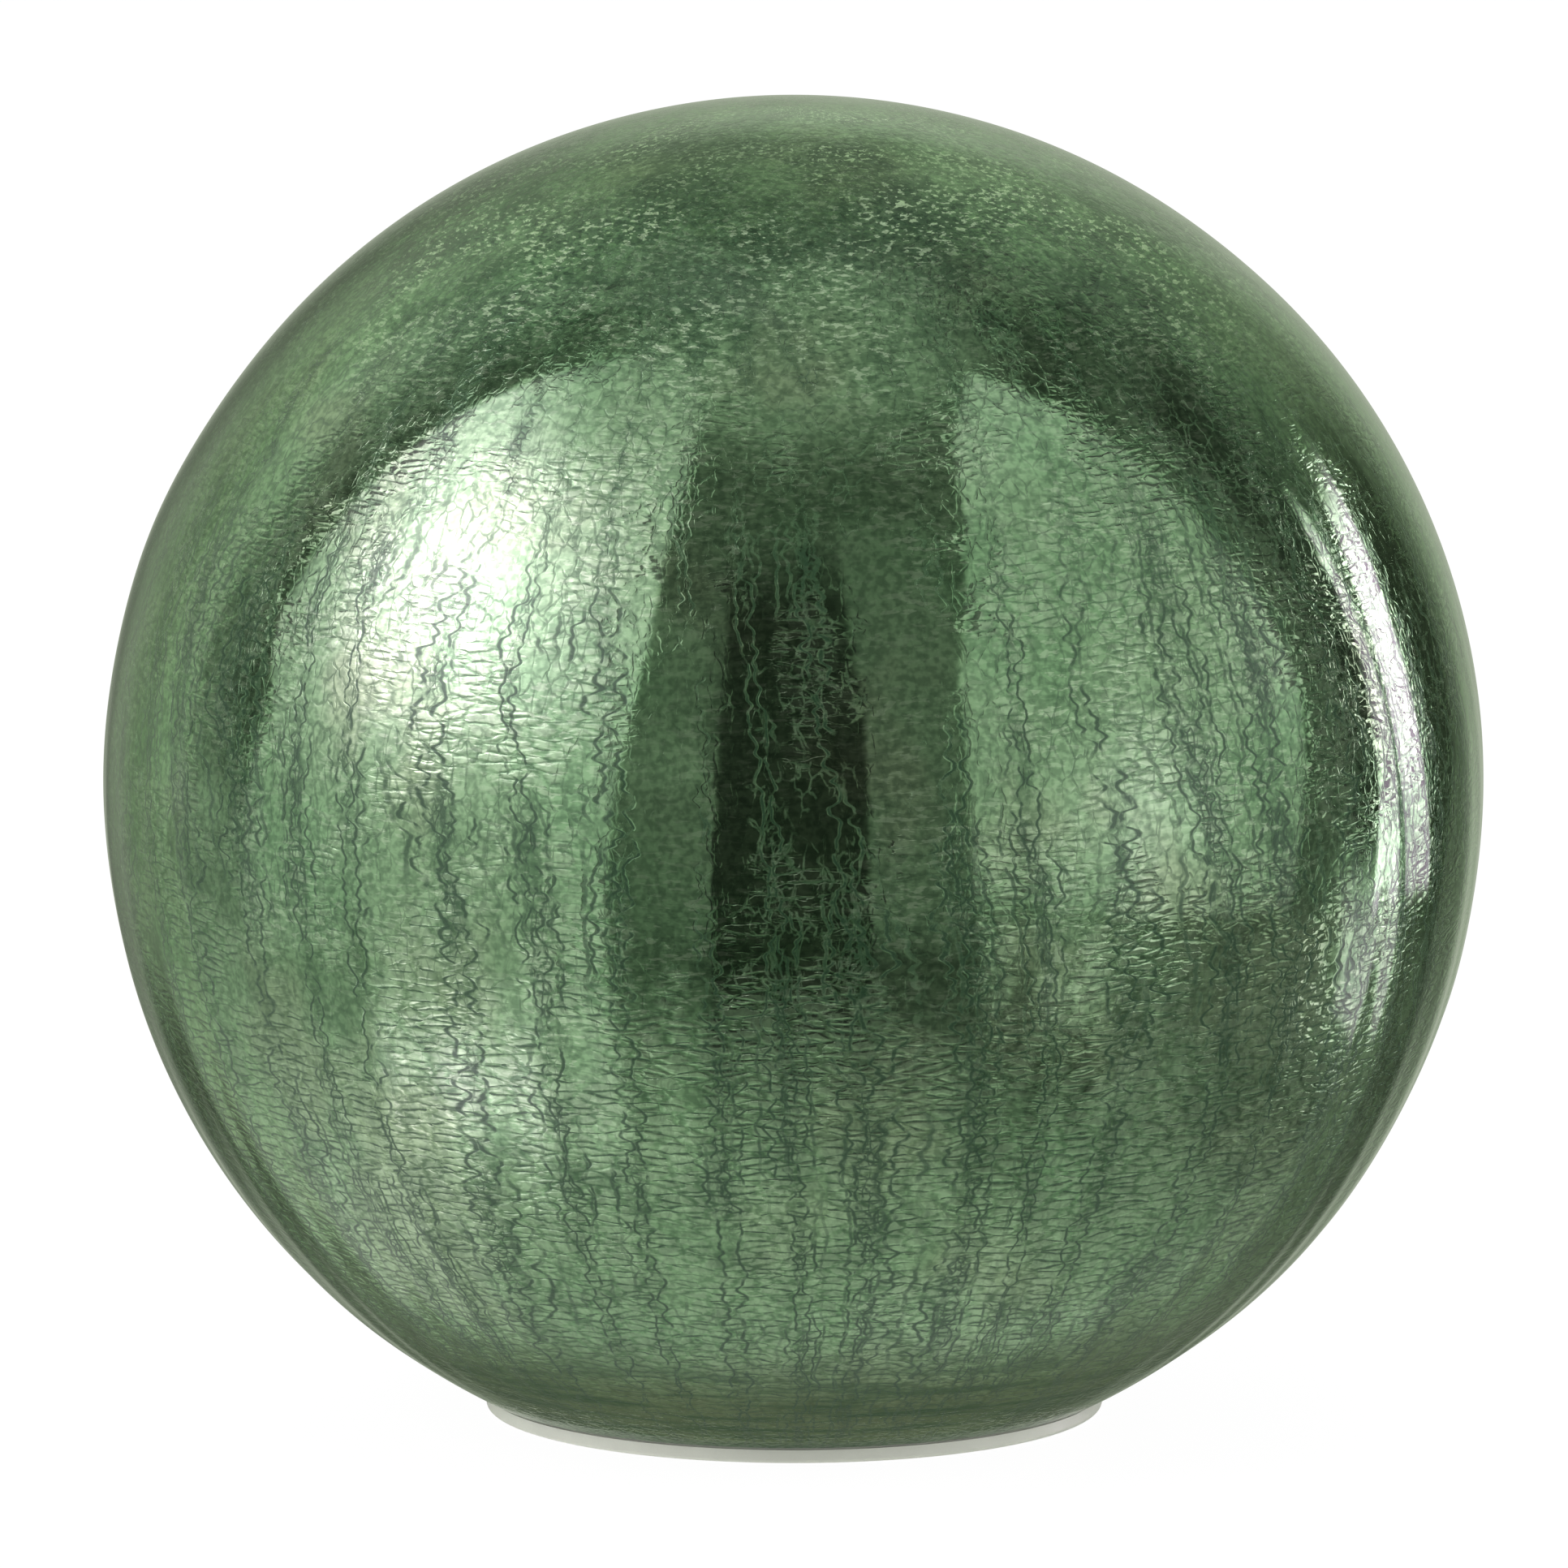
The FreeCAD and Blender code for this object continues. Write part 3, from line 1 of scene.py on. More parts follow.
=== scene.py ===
"""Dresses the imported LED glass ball: a blown, crackled ball with a green mirror lining, on its flat clear base.

Lengths are in metres in the row frame: the base stands on Z = 0, and the front faces -Y.
Azimuth 0 is the front and grows to the right as the front is looked at, and elevation is above the horizon.
"""

import json
import math

import bpy
import numpy as np
from mathutils import Matrix, Vector


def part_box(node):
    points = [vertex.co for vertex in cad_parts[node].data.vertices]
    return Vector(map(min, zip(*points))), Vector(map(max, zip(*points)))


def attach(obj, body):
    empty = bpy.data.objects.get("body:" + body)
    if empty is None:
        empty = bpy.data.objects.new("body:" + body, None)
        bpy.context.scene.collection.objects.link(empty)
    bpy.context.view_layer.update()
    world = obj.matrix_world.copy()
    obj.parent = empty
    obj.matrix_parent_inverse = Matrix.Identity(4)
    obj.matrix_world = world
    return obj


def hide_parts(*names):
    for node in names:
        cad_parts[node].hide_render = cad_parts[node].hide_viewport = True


bl_info = {
    "name": "LED glass ball",
    "version": (1, 0, 0),
    "blender": (4, 5, 0),
    "location": "View3D > Sidebar > Glass ball",
    "description": "Builds the looks of a mirrored crackle glass ball light round its packed frame",
    "category": "Object",
}

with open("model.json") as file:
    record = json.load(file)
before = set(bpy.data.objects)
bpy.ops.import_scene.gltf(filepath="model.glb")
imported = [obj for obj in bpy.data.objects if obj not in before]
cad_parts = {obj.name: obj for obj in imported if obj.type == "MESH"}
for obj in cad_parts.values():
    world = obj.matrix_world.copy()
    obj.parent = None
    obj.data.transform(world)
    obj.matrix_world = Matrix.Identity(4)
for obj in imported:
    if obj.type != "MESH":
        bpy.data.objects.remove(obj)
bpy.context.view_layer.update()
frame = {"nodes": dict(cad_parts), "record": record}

MM = 0.001
PHOTO_SIDE = 1932  # pixels
glass_low, glass_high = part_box("glass_ball")
GLASS_RADIUS = (glass_high.x - glass_low.x) / 2
GLASS_CENTRE = (glass_high.x + glass_low.x) / 2, (glass_high.y + glass_low.y) / 2, glass_high.z - GLASS_RADIUS
RIM_Z = glass_low.z
UPRIGHT_STRETCH = 0.6  # the height of a crack's place is scaled by this, so that cells stand taller than wide
LEVEL_SQUEEZE = 3.5  # and by this along the meridian for the flat cells
LINING_ROWS = 34  # points up the hidden inner side of the wall


# Sizes and colours that a user would change


def length(name, default, description):
    return bpy.props.FloatProperty(
        name=name, default=default, description=description, subtype="DISTANCE", unit="LENGTH"
    )


def colour(name, default, description):
    return bpy.props.FloatVectorProperty(
        name=name, default=default, description=description, subtype="COLOR", size=3, min=0, max=1
    )


class GlassSizes(bpy.types.PropertyGroup):
    wall: length("Wall", 2 * MM, "Thickness of the blown wall")
    opening_radius: length("Opening radius", 42 * MM, "Radius of the hole under the ball")
    rim_rounding: length("Rim rounding", 0.5 * MM, "Radius of the fire polished edges of the rim")
    waviness: length("Waviness", 0.5 * MM, "How far the blown surface leaves a true sphere")
    rib_height: length("Rib height", 0.1 * MM, "Height of the soft upright ribs in the lower half")
    rib_count: bpy.props.IntProperty(name="Ribs", default=48, min=3, description="Number of soft ribs round the ball")
    columns: bpy.props.IntProperty(name="Columns", default=384, min=32, description="Faces round the ball")
    rows: bpy.props.IntProperty(name="Rows", default=190, min=16, description="Faces from the top to the rim")


class GlassFinish(bpy.types.PropertyGroup):
    mirror: colour("Mirror", (0.302, 0.525, 0.264), "Usual colour of the mirror lining")
    emerald: colour("Emerald", (0.262, 0.50, 0.236), "Colour of its deeper green patches")
    olive: colour("Olive", (0.345, 0.512, 0.276), "Colour of its greyer patches")
    # This dark colour is the real dark of crowded cracks, and also the painted shade of the streaks near the rim and of
    # the line along it
    deep_and_painted_shade: colour("Deep", (0.014, 0.075, 0.026), "Colour of the mirror where fine cracks crowd")
    # Painted glint: this pale colour on the flecks and on the middles of the flat cells stands in for glints
    spark: colour("Spark", (0.72, 0.96, 0.62), "Colour of the mirror on raised flecks")
    # Painted shade: this darker, greyer colour near the rim stands in for the shade where the ball sits on its base
    foot: colour("Foot", (0.17, 0.175, 0.09), "Greyer colour of the mirror near the rim")
    crack: colour("Crack", (0.024, 0.062, 0.030), "Colour of the broken face of a crack")
    grazing: colour("Grazing tint", (0.75, 0.86, 0.73), "Tint of the mirror where it is looked along")
    cell: length("Crack cell", 2.3 * MM, "Usual width of the cells between the cracks")
    crack_width: length("Crack width", 0.25 * MM, "Half of the width of a crack")
    level_cell: length("Level cell", 4.6 * MM, "Usual width of the flat cells that the level strokes run between")


class PlasticFinish(bpy.types.PropertyGroup):
    base: colour("Base", (0.82, 0.84, 0.745), "Colour of the frosted base, its door and its cover")


class StageSizes(bpy.types.PropertyGroup):
    camera_distance: length("Camera distance", 4.0, "From the lens to the middle of the ball")
    camera_elevation: bpy.props.FloatProperty(
        name="Camera elevation", default=math.radians(10), subtype="ANGLE", description="How far the camera looks down"
    )
    floor_radius: length("Floor radius", 3.5, "Radius of the pale floor")
    surround_radius: length("Surround radius", 3.2, "Radius of the painted studio seen only in gloss")


# Surfaces worked out with numpy


def smooth(value, low, high):
    """0 below low, 1 above high, and 3t^2 - 2t^3 between them, t being the share of the way."""
    t = np.clip((value - low) / (high - low), 0, 1)
    return t * t * (3 - 2 * t)


def window(value, low, high, soft_low, soft_high=None):
    """1 between low and high, falling smoothly to 0 over the soft widths on either side."""
    soft_high = soft_low if soft_high is None else soft_high
    return smooth(value, low - soft_low, low) * (1 - smooth(value, high, high + soft_high))


def arc(centre, radius, start, end, count):
    """Points centre + radius (cos t, sin t) as (distance from the axis, height), t in equal steps from start to end."""
    t = np.linspace(start, end, count)
    return np.column_stack([centre[0] + radius * np.cos(t), centre[1] + radius * np.sin(t)])


def direction_of(azimuth, elevation):
    """The unit vector (sin a cos e, -cos a cos e, sin e) of that azimuth and elevation in degrees."""
    a, e = np.radians(azimuth), np.radians(elevation)
    return np.stack([np.sin(a) * np.cos(e), -np.cos(a) * np.cos(e), np.sin(e) * np.ones_like(a)], -1)


def new_object(name, data):
    piece = bpy.data.objects.new(name, data)
    bpy.context.scene.collection.objects.link(piece)
    return piece


def grid_faces(rows, columns, closed):
    """Quads between neighbouring points of a grid of rows by columns, the last column meeting the first if closed."""
    i, j = np.meshgrid(np.arange(rows - 1), np.arange(columns if closed else columns - 1), indexing="ij")
    k = (j + 1) % columns
    corners = [i * columns + j, (i + 1) * columns + j, (i + 1) * columns + k, i * columns + k]
    return np.stack(corners, -1).reshape(-1, 4)


def mesh_from(name, points, faces):
    """A smooth shaded mesh of those points and faces."""
    mesh = bpy.data.meshes.new(name)
    mesh.from_pydata(points.tolist(), [], faces)
    mesh.validate()
    mesh.shade_smooth()
    return mesh


def bumps(direction, places):
    """The sum of height * exp(-(angle / width)^2) over places given as (azimuth, elevation, width, height), angles in
    degrees, at each unit direction."""
    total = np.zeros(direction.shape[:-1])
    for azimuth, elevation, width, height in places:
        angle = np.degrees(np.arccos(np.clip(direction @ direction_of(azimuth, elevation), -1, 1)))
        total += height * np.exp(-((angle / width) ** 2))
    return total


BLOWN_PLACES = [
    # azimuth, elevation, width in degrees, and height as a share of the waviness
    (-92, 22, 9, 0.9), (-95, -10, 9, -1.2), (88, 52, 12, -0.8), (92, -18, 7, 0.8), (90, -40, 9, 0.8),
    (92, -56, 8, -0.7), (25, 74, 12, 0.5), (-28, -32, 12, -0.6), (55, -36, 12, 0.6), (-60, 15, 14, -0.5),
    (40, 22, 12, 0.5), (5, 30, 12, -0.4), (150, 20, 14, 0.9), (-150, -12, 13, 0.8), (178, 48, 14, -0.8),
    (-140, 42, 14, -0.7), (168, -34, 14, -0.8), (128, -8, 9, 0.6), (118, 12, 8, -0.5), (-120, -40, 12, 0.6),
]

CROWDED_PLACES = [
    # azimuth, elevation, width, height, and how much more the cracks crowd there, or less where it is negative
    (9, 18, 5, 18, -2.4), (-10, 12, 4, 22, -2.2), (-4.5, 14, 2.5, 20, -1.4), (38, 14, 9, 22, 0.8),
    (-17, 30, 5, 12, 0.5), (-36, 26, 8, 9, 0.5), (-62, 8, 10, 26, 0.4), (24, 12, 6, 9, -0.4), (-30, -14, 7, 8, -0.5),
    (62, 6, 8, 26, 0.5), (150, 10, 12, 20, 0.6), (-140, 20, 14, 18, 0.6), (100, 22, 8, 20, -0.6),
    (-104, 0, 8, 18, -0.5), (176, -6, 9, 22, -0.6),
]


def blend(a, b, share):
    return a + (b - a) * share


def spot(azimuth, elevation, middle, width, height):
    """exp(-(da / width)^2 - (de / height)^2), with da and de the angles from the middle."""
    return np.exp(-(((azimuth - middle[0]) / width) ** 2) - ((elevation - middle[1]) / height) ** 2)


def rib_phase(azimuth, elevation, count):
    """The place among the ribs, in ribs: count azimuth / 2 pi plus four slow waves, so that no rib is quite upright
    or as wide as the next. A rib stands highest at a whole number. Elevations are in degrees."""
    wander = 0.9 * np.sin(3 * azimuth + 1.3) + 0.7 * np.sin(5 * azimuth + 0.04 * elevation)
    wander += 0.5 * np.sin(11 * azimuth + 2) + 0.8 * np.sin(17 * azimuth + 0.03 * elevation + 0.5)
    return (count * azimuth + wander) / (2 * math.pi)


def blown_surface(direction, sizes):
    """How far the outer skin stands off a true sphere along each unit direction: local swells, three long waves
    that run round the ball, and upright ribs cos(2 pi phase) that fade out above the middle."""
    azimuth = np.arctan2(direction[..., 0], -direction[..., 1])
    elevation = np.degrees(np.arcsin(np.clip(direction[..., 2], -1, 1)))
    swells = bumps(direction, BLOWN_PLACES)
    waves = (
        0.30 * np.sin(3 * azimuth + 0.05 * elevation + 0.6)
        + 0.24 * np.sin(5 * azimuth - 0.07 * elevation + 2.1)
        + 0.20 * np.sin(2 * azimuth + 0.11 * elevation + 4.0)
    ) * np.cos(np.radians(elevation)) ** 2
    ribs = np.cos(2 * math.pi * rib_phase(azimuth, elevation, sizes.rib_count))
    ribs = ribs * (1 - smooth(elevation, -28, 25)) * smooth(elevation, -64, -48)
    near_rim = smooth(elevation, -62, -50)
    return (sizes.waviness * (swells + waves) + sizes.rib_height * ribs) * near_rim


def glass_profile(sizes):
    """The section of the wall as (distance from the axis, height) from the outer pole, down the outer arc, round
    the fire polished rim, up the bore of the opening and along the inner arc to the inner pole."""
    cz, outer, inner = GLASS_CENTRE[2], GLASS_RADIUS, GLASS_RADIUS - sizes.wall
    fillet, bore = sizes.rim_rounding, sizes.opening_radius
    depth = cz - RIM_Z - fillet
    reach = math.sqrt((outer - fillet) ** 2 - depth**2)  # the outer fillet's centre lies on a sphere inside the skin
    tangent = math.atan2(-depth, reach)
    skin = arc((0, cz), outer, math.pi / 2, tangent, sizes.rows)
    outer_edge = arc((reach, RIM_Z + fillet), fillet, tangent, -math.pi / 2, 7)[1:]
    inner_edge = arc((bore + fillet, RIM_Z + fillet), fillet, -math.pi / 2, -math.pi, 6)
    lining = arc((0, cz), inner, -math.acos(bore / inner), math.pi / 2, LINING_ROWS)
    if lining[0, 1] <= inner_edge[-1, 1]:
        inner_edge = inner_edge[:-2]  # the lining begins below the top of this rounding
    section = np.vstack([skin, outer_edge, inner_edge, lining])
    section[0, 0] = section[-1, 0] = 0
    return section


def turned(section, columns):
    """Points (distance cos a, distance sin a, height) for each point of the section and each of the equal steps of a
    round the axis, as an array of rows by columns by 3."""
    a = np.linspace(0, 2 * math.pi, columns, endpoint=False)
    x, y = section[:, :1] * np.cos(a), section[:, :1] * np.sin(a)
    return np.stack([x, y, np.broadcast_to(section[:, 1:], x.shape)], -1)


def turned_mesh(name, points):
    """A closed mesh from rows by columns by 3, whose first and last rows are poles and become one point each."""
    rows, columns, _ = points.shape
    index = np.arange(rows * columns).reshape(rows, columns) - (columns - 1)
    index[0] = 0
    index[-1] = index[-2, -1] + 1
    quads = index.ravel()[grid_faces(rows, columns, True)]
    flat = np.vstack([points[0, :1], points[1:-1].reshape(-1, 3), points[-1, :1]])
    first, last = quads[:columns, [0, 1, 2]], quads[-columns:, [0, 1, 3]]
    return mesh_from(name, flat, first.tolist() + quads[columns:-columns].tolist() + last.tolist())


def places_from_middle(mesh):
    """The place of each point of a mesh, from the middle of the ball."""
    points = np.zeros(len(mesh.vertices) * 3, np.float32)
    mesh.vertices.foreach_get("co", points)
    return points.reshape(-1, 3).astype(float) - np.array(GLASS_CENTRE)


def add_meridian_map(mesh, rib_count):
    """A UV map whose U is the rib phase and V the angle from the top in half turns. U runs on past the seam there,
    so that a pattern which repeats with each rib has no break."""
    corners = np.zeros(len(mesh.loops), np.int32)
    mesh.loops.foreach_get("vertex_index", corners)
    points = places_from_middle(mesh)[corners]
    azimuth = np.arctan2(points[:, 0], -points[:, 1])
    starts = np.zeros(len(mesh.polygons), np.int32)
    mesh.polygons.foreach_get("loop_start", starts)
    owner = np.repeat(np.arange(len(starts)), np.diff(np.append(starts, len(corners))))
    highest = np.maximum.reduceat(azimuth, starts)[owner]
    azimuth += (highest - azimuth > math.pi) * 2 * math.pi
    polar = np.arctan2(np.hypot(points[:, 0], points[:, 1]), points[:, 2])
    phase = rib_phase(azimuth, 90 - np.degrees(polar), rib_count)
    layer = mesh.uv_layers.new(name="meridian")
    layer.data.foreach_set("uv", np.column_stack([phase, polar / math.pi]).astype(np.float32).ravel())


def add_crowding(mesh):
    """A point attribute, the sum of spots over CROWDED_PLACES at each point's azimuth and elevation."""
    points = places_from_middle(mesh)
    azimuth = np.degrees(np.arctan2(points[:, 0], -points[:, 1]))
    elevation = np.degrees(np.arctan2(points[:, 2], np.hypot(points[:, 0], points[:, 1])))
    total = sum(amount * spot(azimuth, elevation, (a, e), w, h) for a, e, w, h, amount in CROWDED_PLACES)
    mesh.attributes.new("crowding", "FLOAT", "POINT").data.foreach_set("value", total.astype(np.float32))


# Material nodes


class Wiring:
    """Short calls for the nodes of one tree. A value may be a number, a colour or another node's socket."""

    def __init__(self, tree):
        self.tree = tree

    def node(self, kind, values=None, **settings):
        made = self.tree.nodes.new(kind)
        for name, setting in settings.items():
            setattr(made, name, setting)
        for key, value in (values or {}).items():
            self.put(made.inputs[key], value)
        return made

    def put(self, socket, value):
        if isinstance(value, bpy.types.NodeSocket):
            self.tree.links.new(value, socket)
        elif socket.type == "RGBA" and len(value) == 3:
            socket.default_value = (*value, 1)
        else:
            socket.default_value = value

    def math(self, operation, *values):
        return self.node("ShaderNodeMath", dict(enumerate(values)), operation=operation).outputs[0]

    def times(self, a, b):
        return self.math("MULTIPLY", a, b)

    def plus(self, a, b):
        return self.math("ADD", a, b)

    def minus(self, a, b):
        return self.math("SUBTRACT", a, b)

    def larger(self, a, b):
        return self.math("MAXIMUM", a, b)

    def vector(self, operation, *values, scale=None):
        made = self.node("ShaderNodeVectorMath", dict(enumerate(values)), operation=operation)
        if scale is not None:
            self.put(made.inputs["Scale"], scale)
        return made.outputs["Value" if operation in ("DOT_PRODUCT", "LENGTH") else "Vector"]

    def step(self, value, low, high, at_low=0.0, at_high=1.0):
        """A smooth step from at_low, at low, to at_high, at high."""
        values = {"Value": value, "From Min": low, "From Max": high, "To Min": at_low, "To Max": at_high}
        return self.node("ShaderNodeMapRange", values, interpolation_type="SMOOTHSTEP").outputs["Result"]

    def noise(self, vector, scale, detail=2.0, roughness=0.5, output="Fac"):
        values = {"Vector": vector, "Scale": scale, "Detail": detail, "Roughness": roughness}
        return self.node("ShaderNodeTexNoise", values).outputs[output]

    def mix(self, share, a, b):
        made = self.node("ShaderNodeMix", data_type="RGBA")
        for socket, value in zip([made.inputs[0], made.inputs[6], made.inputs[7]], [share, a, b]):
            self.put(socket, value)
        return made.outputs[2]

    def bump(self, height, distance, normal=None):
        values = {"Height": height, "Distance": distance, "Strength": 1.0}
        if normal is not None:
            values["Normal"] = normal
        return self.node("ShaderNodeBump", values).outputs["Normal"]

    def object_place(self):
        return self.node("ShaderNodeTexCoord").outputs["Object"]

    def parts(self, vector):
        return self.node("ShaderNodeSeparateXYZ", {"Vector": vector}).outputs

    def off_middle(self, colour):
        """A random colour as a vector from the middle of its range."""
        return self.vector("SUBTRACT", colour, (0.5, 0.5, 0.5))


def new_group(name, inputs, outputs):
    """An empty shader group with those (name, socket type, default) inputs and (name, socket type) outputs, and its
    Wiring, input and output nodes."""
    group = bpy.data.node_groups.new(name, "ShaderNodeTree")
    for label, kind, default in inputs:
        socket = group.interface.new_socket(label, in_out="INPUT", socket_type=kind)
        if default is not None:
            socket.default_value = default
    for label, kind in outputs:
        group.interface.new_socket(label, in_out="OUTPUT", socket_type=kind)
    return group, Wiring(group), group.nodes.new("NodeGroupInput").outputs, group.nodes.new("NodeGroupOutput").inputs


def crack_group():
    """Cracks between cells: with A and B the nearest and next feature points, a point P lies
    (|P - B|^2 - |P - A|^2) / 2|B - A| from the wall between their cells, and that over the sine of the wall's angle
    to the surface is how far the crack is along the surface. Level is 1 where B is straight above or below A."""
    group, w, given, out = new_group(
        "Crack lines",
        [
            ("Vector", "NodeSocketVector", None),
            ("Outward", "NodeSocketVector", None),
            ("Cells per metre", "NodeSocketFloat", 400.0),
            ("Half width", "NodeSocketFloat", 0.0002),
            ("Wobble", "NodeSocketFloat", 0.0004),
        ],
        [
            ("Line", "NodeSocketFloat"),
            ("Distance", "NodeSocketFloat"),
            ("Cell", "NodeSocketColor"),
            ("Level", "NodeSocketFloat"),
        ],
    )
    cells = given["Cells per metre"]
    shake = w.noise(given["Vector"], w.times(cells, 1.6), 1.0, 0.5, "Color")
    shake = w.vector("SCALE", w.off_middle(shake), scale=given["Wobble"])
    place = w.vector("ADD", given["Vector"], shake)
    near, far = (
        w.node("ShaderNodeTexVoronoi", {"Vector": place, "Scale": cells, "Randomness": 1.0}, feature=feature)
        for feature in ("F1", "F2")
    )
    to_near = w.vector("SUBTRACT", place, near.outputs["Position"])
    to_far = w.vector("SUBTRACT", place, far.outputs["Position"])
    across = w.vector("SUBTRACT", far.outputs["Position"], near.outputs["Position"])
    span = w.vector("LENGTH", across)
    depth = w.minus(w.vector("DOT_PRODUCT", to_far, to_far), w.vector("DOT_PRODUCT", to_near, to_near))
    depth = w.math("DIVIDE", depth, w.times(span, 2.0))
    lean = w.math("DIVIDE", w.vector("DOT_PRODUCT", across, given["Outward"]), span)
    flat = w.math("SQRT", w.larger(w.minus(1.0, w.times(lean, lean)), 0.12))
    distance = w.math("DIVIDE", depth, flat)
    w.put(out["Distance"], distance)
    core = w.times(given["Half width"], 0.2)
    w.put(out["Line"], w.step(distance, core, given["Half width"], 1.0, 0.0))
    w.put(out["Cell"], near.outputs["Color"])
    rise = w.parts(across)["Z"]
    w.put(out["Level"], w.math("ABSOLUTE", w.math("DIVIDE", rise, span)))
    return group


def grain_group():
    """The fine unevenness of a moulded, rolled or drawn surface: noise at the grain's size and at twelve times that
    size, as a share that changes the colour a little, a roughness and a height."""
    group, w, given, out = new_group(
        "Surface grain",
        [
            ("Grain", "NodeSocketFloat", 0.0004),
            ("Stretch", "NodeSocketVector", (1, 1, 1)),
            ("Roughness from", "NodeSocketFloat", 0.3),
            ("Roughness to", "NodeSocketFloat", 0.5),
        ],
        [("Shade", "NodeSocketFloat"), ("Roughness", "NodeSocketFloat"), ("Height", "NodeSocketFloat")],
    )
    place = w.vector("MULTIPLY", w.object_place(), given["Stretch"])
    scale = w.math("DIVIDE", 1.0, given["Grain"])
    fine = w.noise(place, scale, 3.0, 0.6)
    wide = w.noise(place, w.math("DIVIDE", scale, 12.0), 2.0)
    both = w.plus(w.times(fine, 0.45), w.times(wide, 0.55))
    w.put(out["Shade"], w.step(both, 0.35, 0.65))
    w.put(out["Roughness"], w.step(wide, 0.3, 0.7, given["Roughness from"], given["Roughness to"]))
    w.put(out["Height"], fine)
    return group


def new_material(name):
    """A material with a Principled BSDF, and its Wiring and shader node."""
    material = bpy.data.materials.new(name)
    material.use_nodes = True
    w = Wiring(material.node_tree)
    return material, w, material.node_tree.nodes["Principled BSDF"]


def set_sockets(shader, **numbers):
    """Plain numbers on the shader's own sockets, each named by its label with underscores for spaces."""
    for label, number in numbers.items():
        shader.inputs[label.replace("_", " ")].default_value = number


def wear(piece, material):
    piece.data.materials.clear()
    piece.data.materials.append(material)


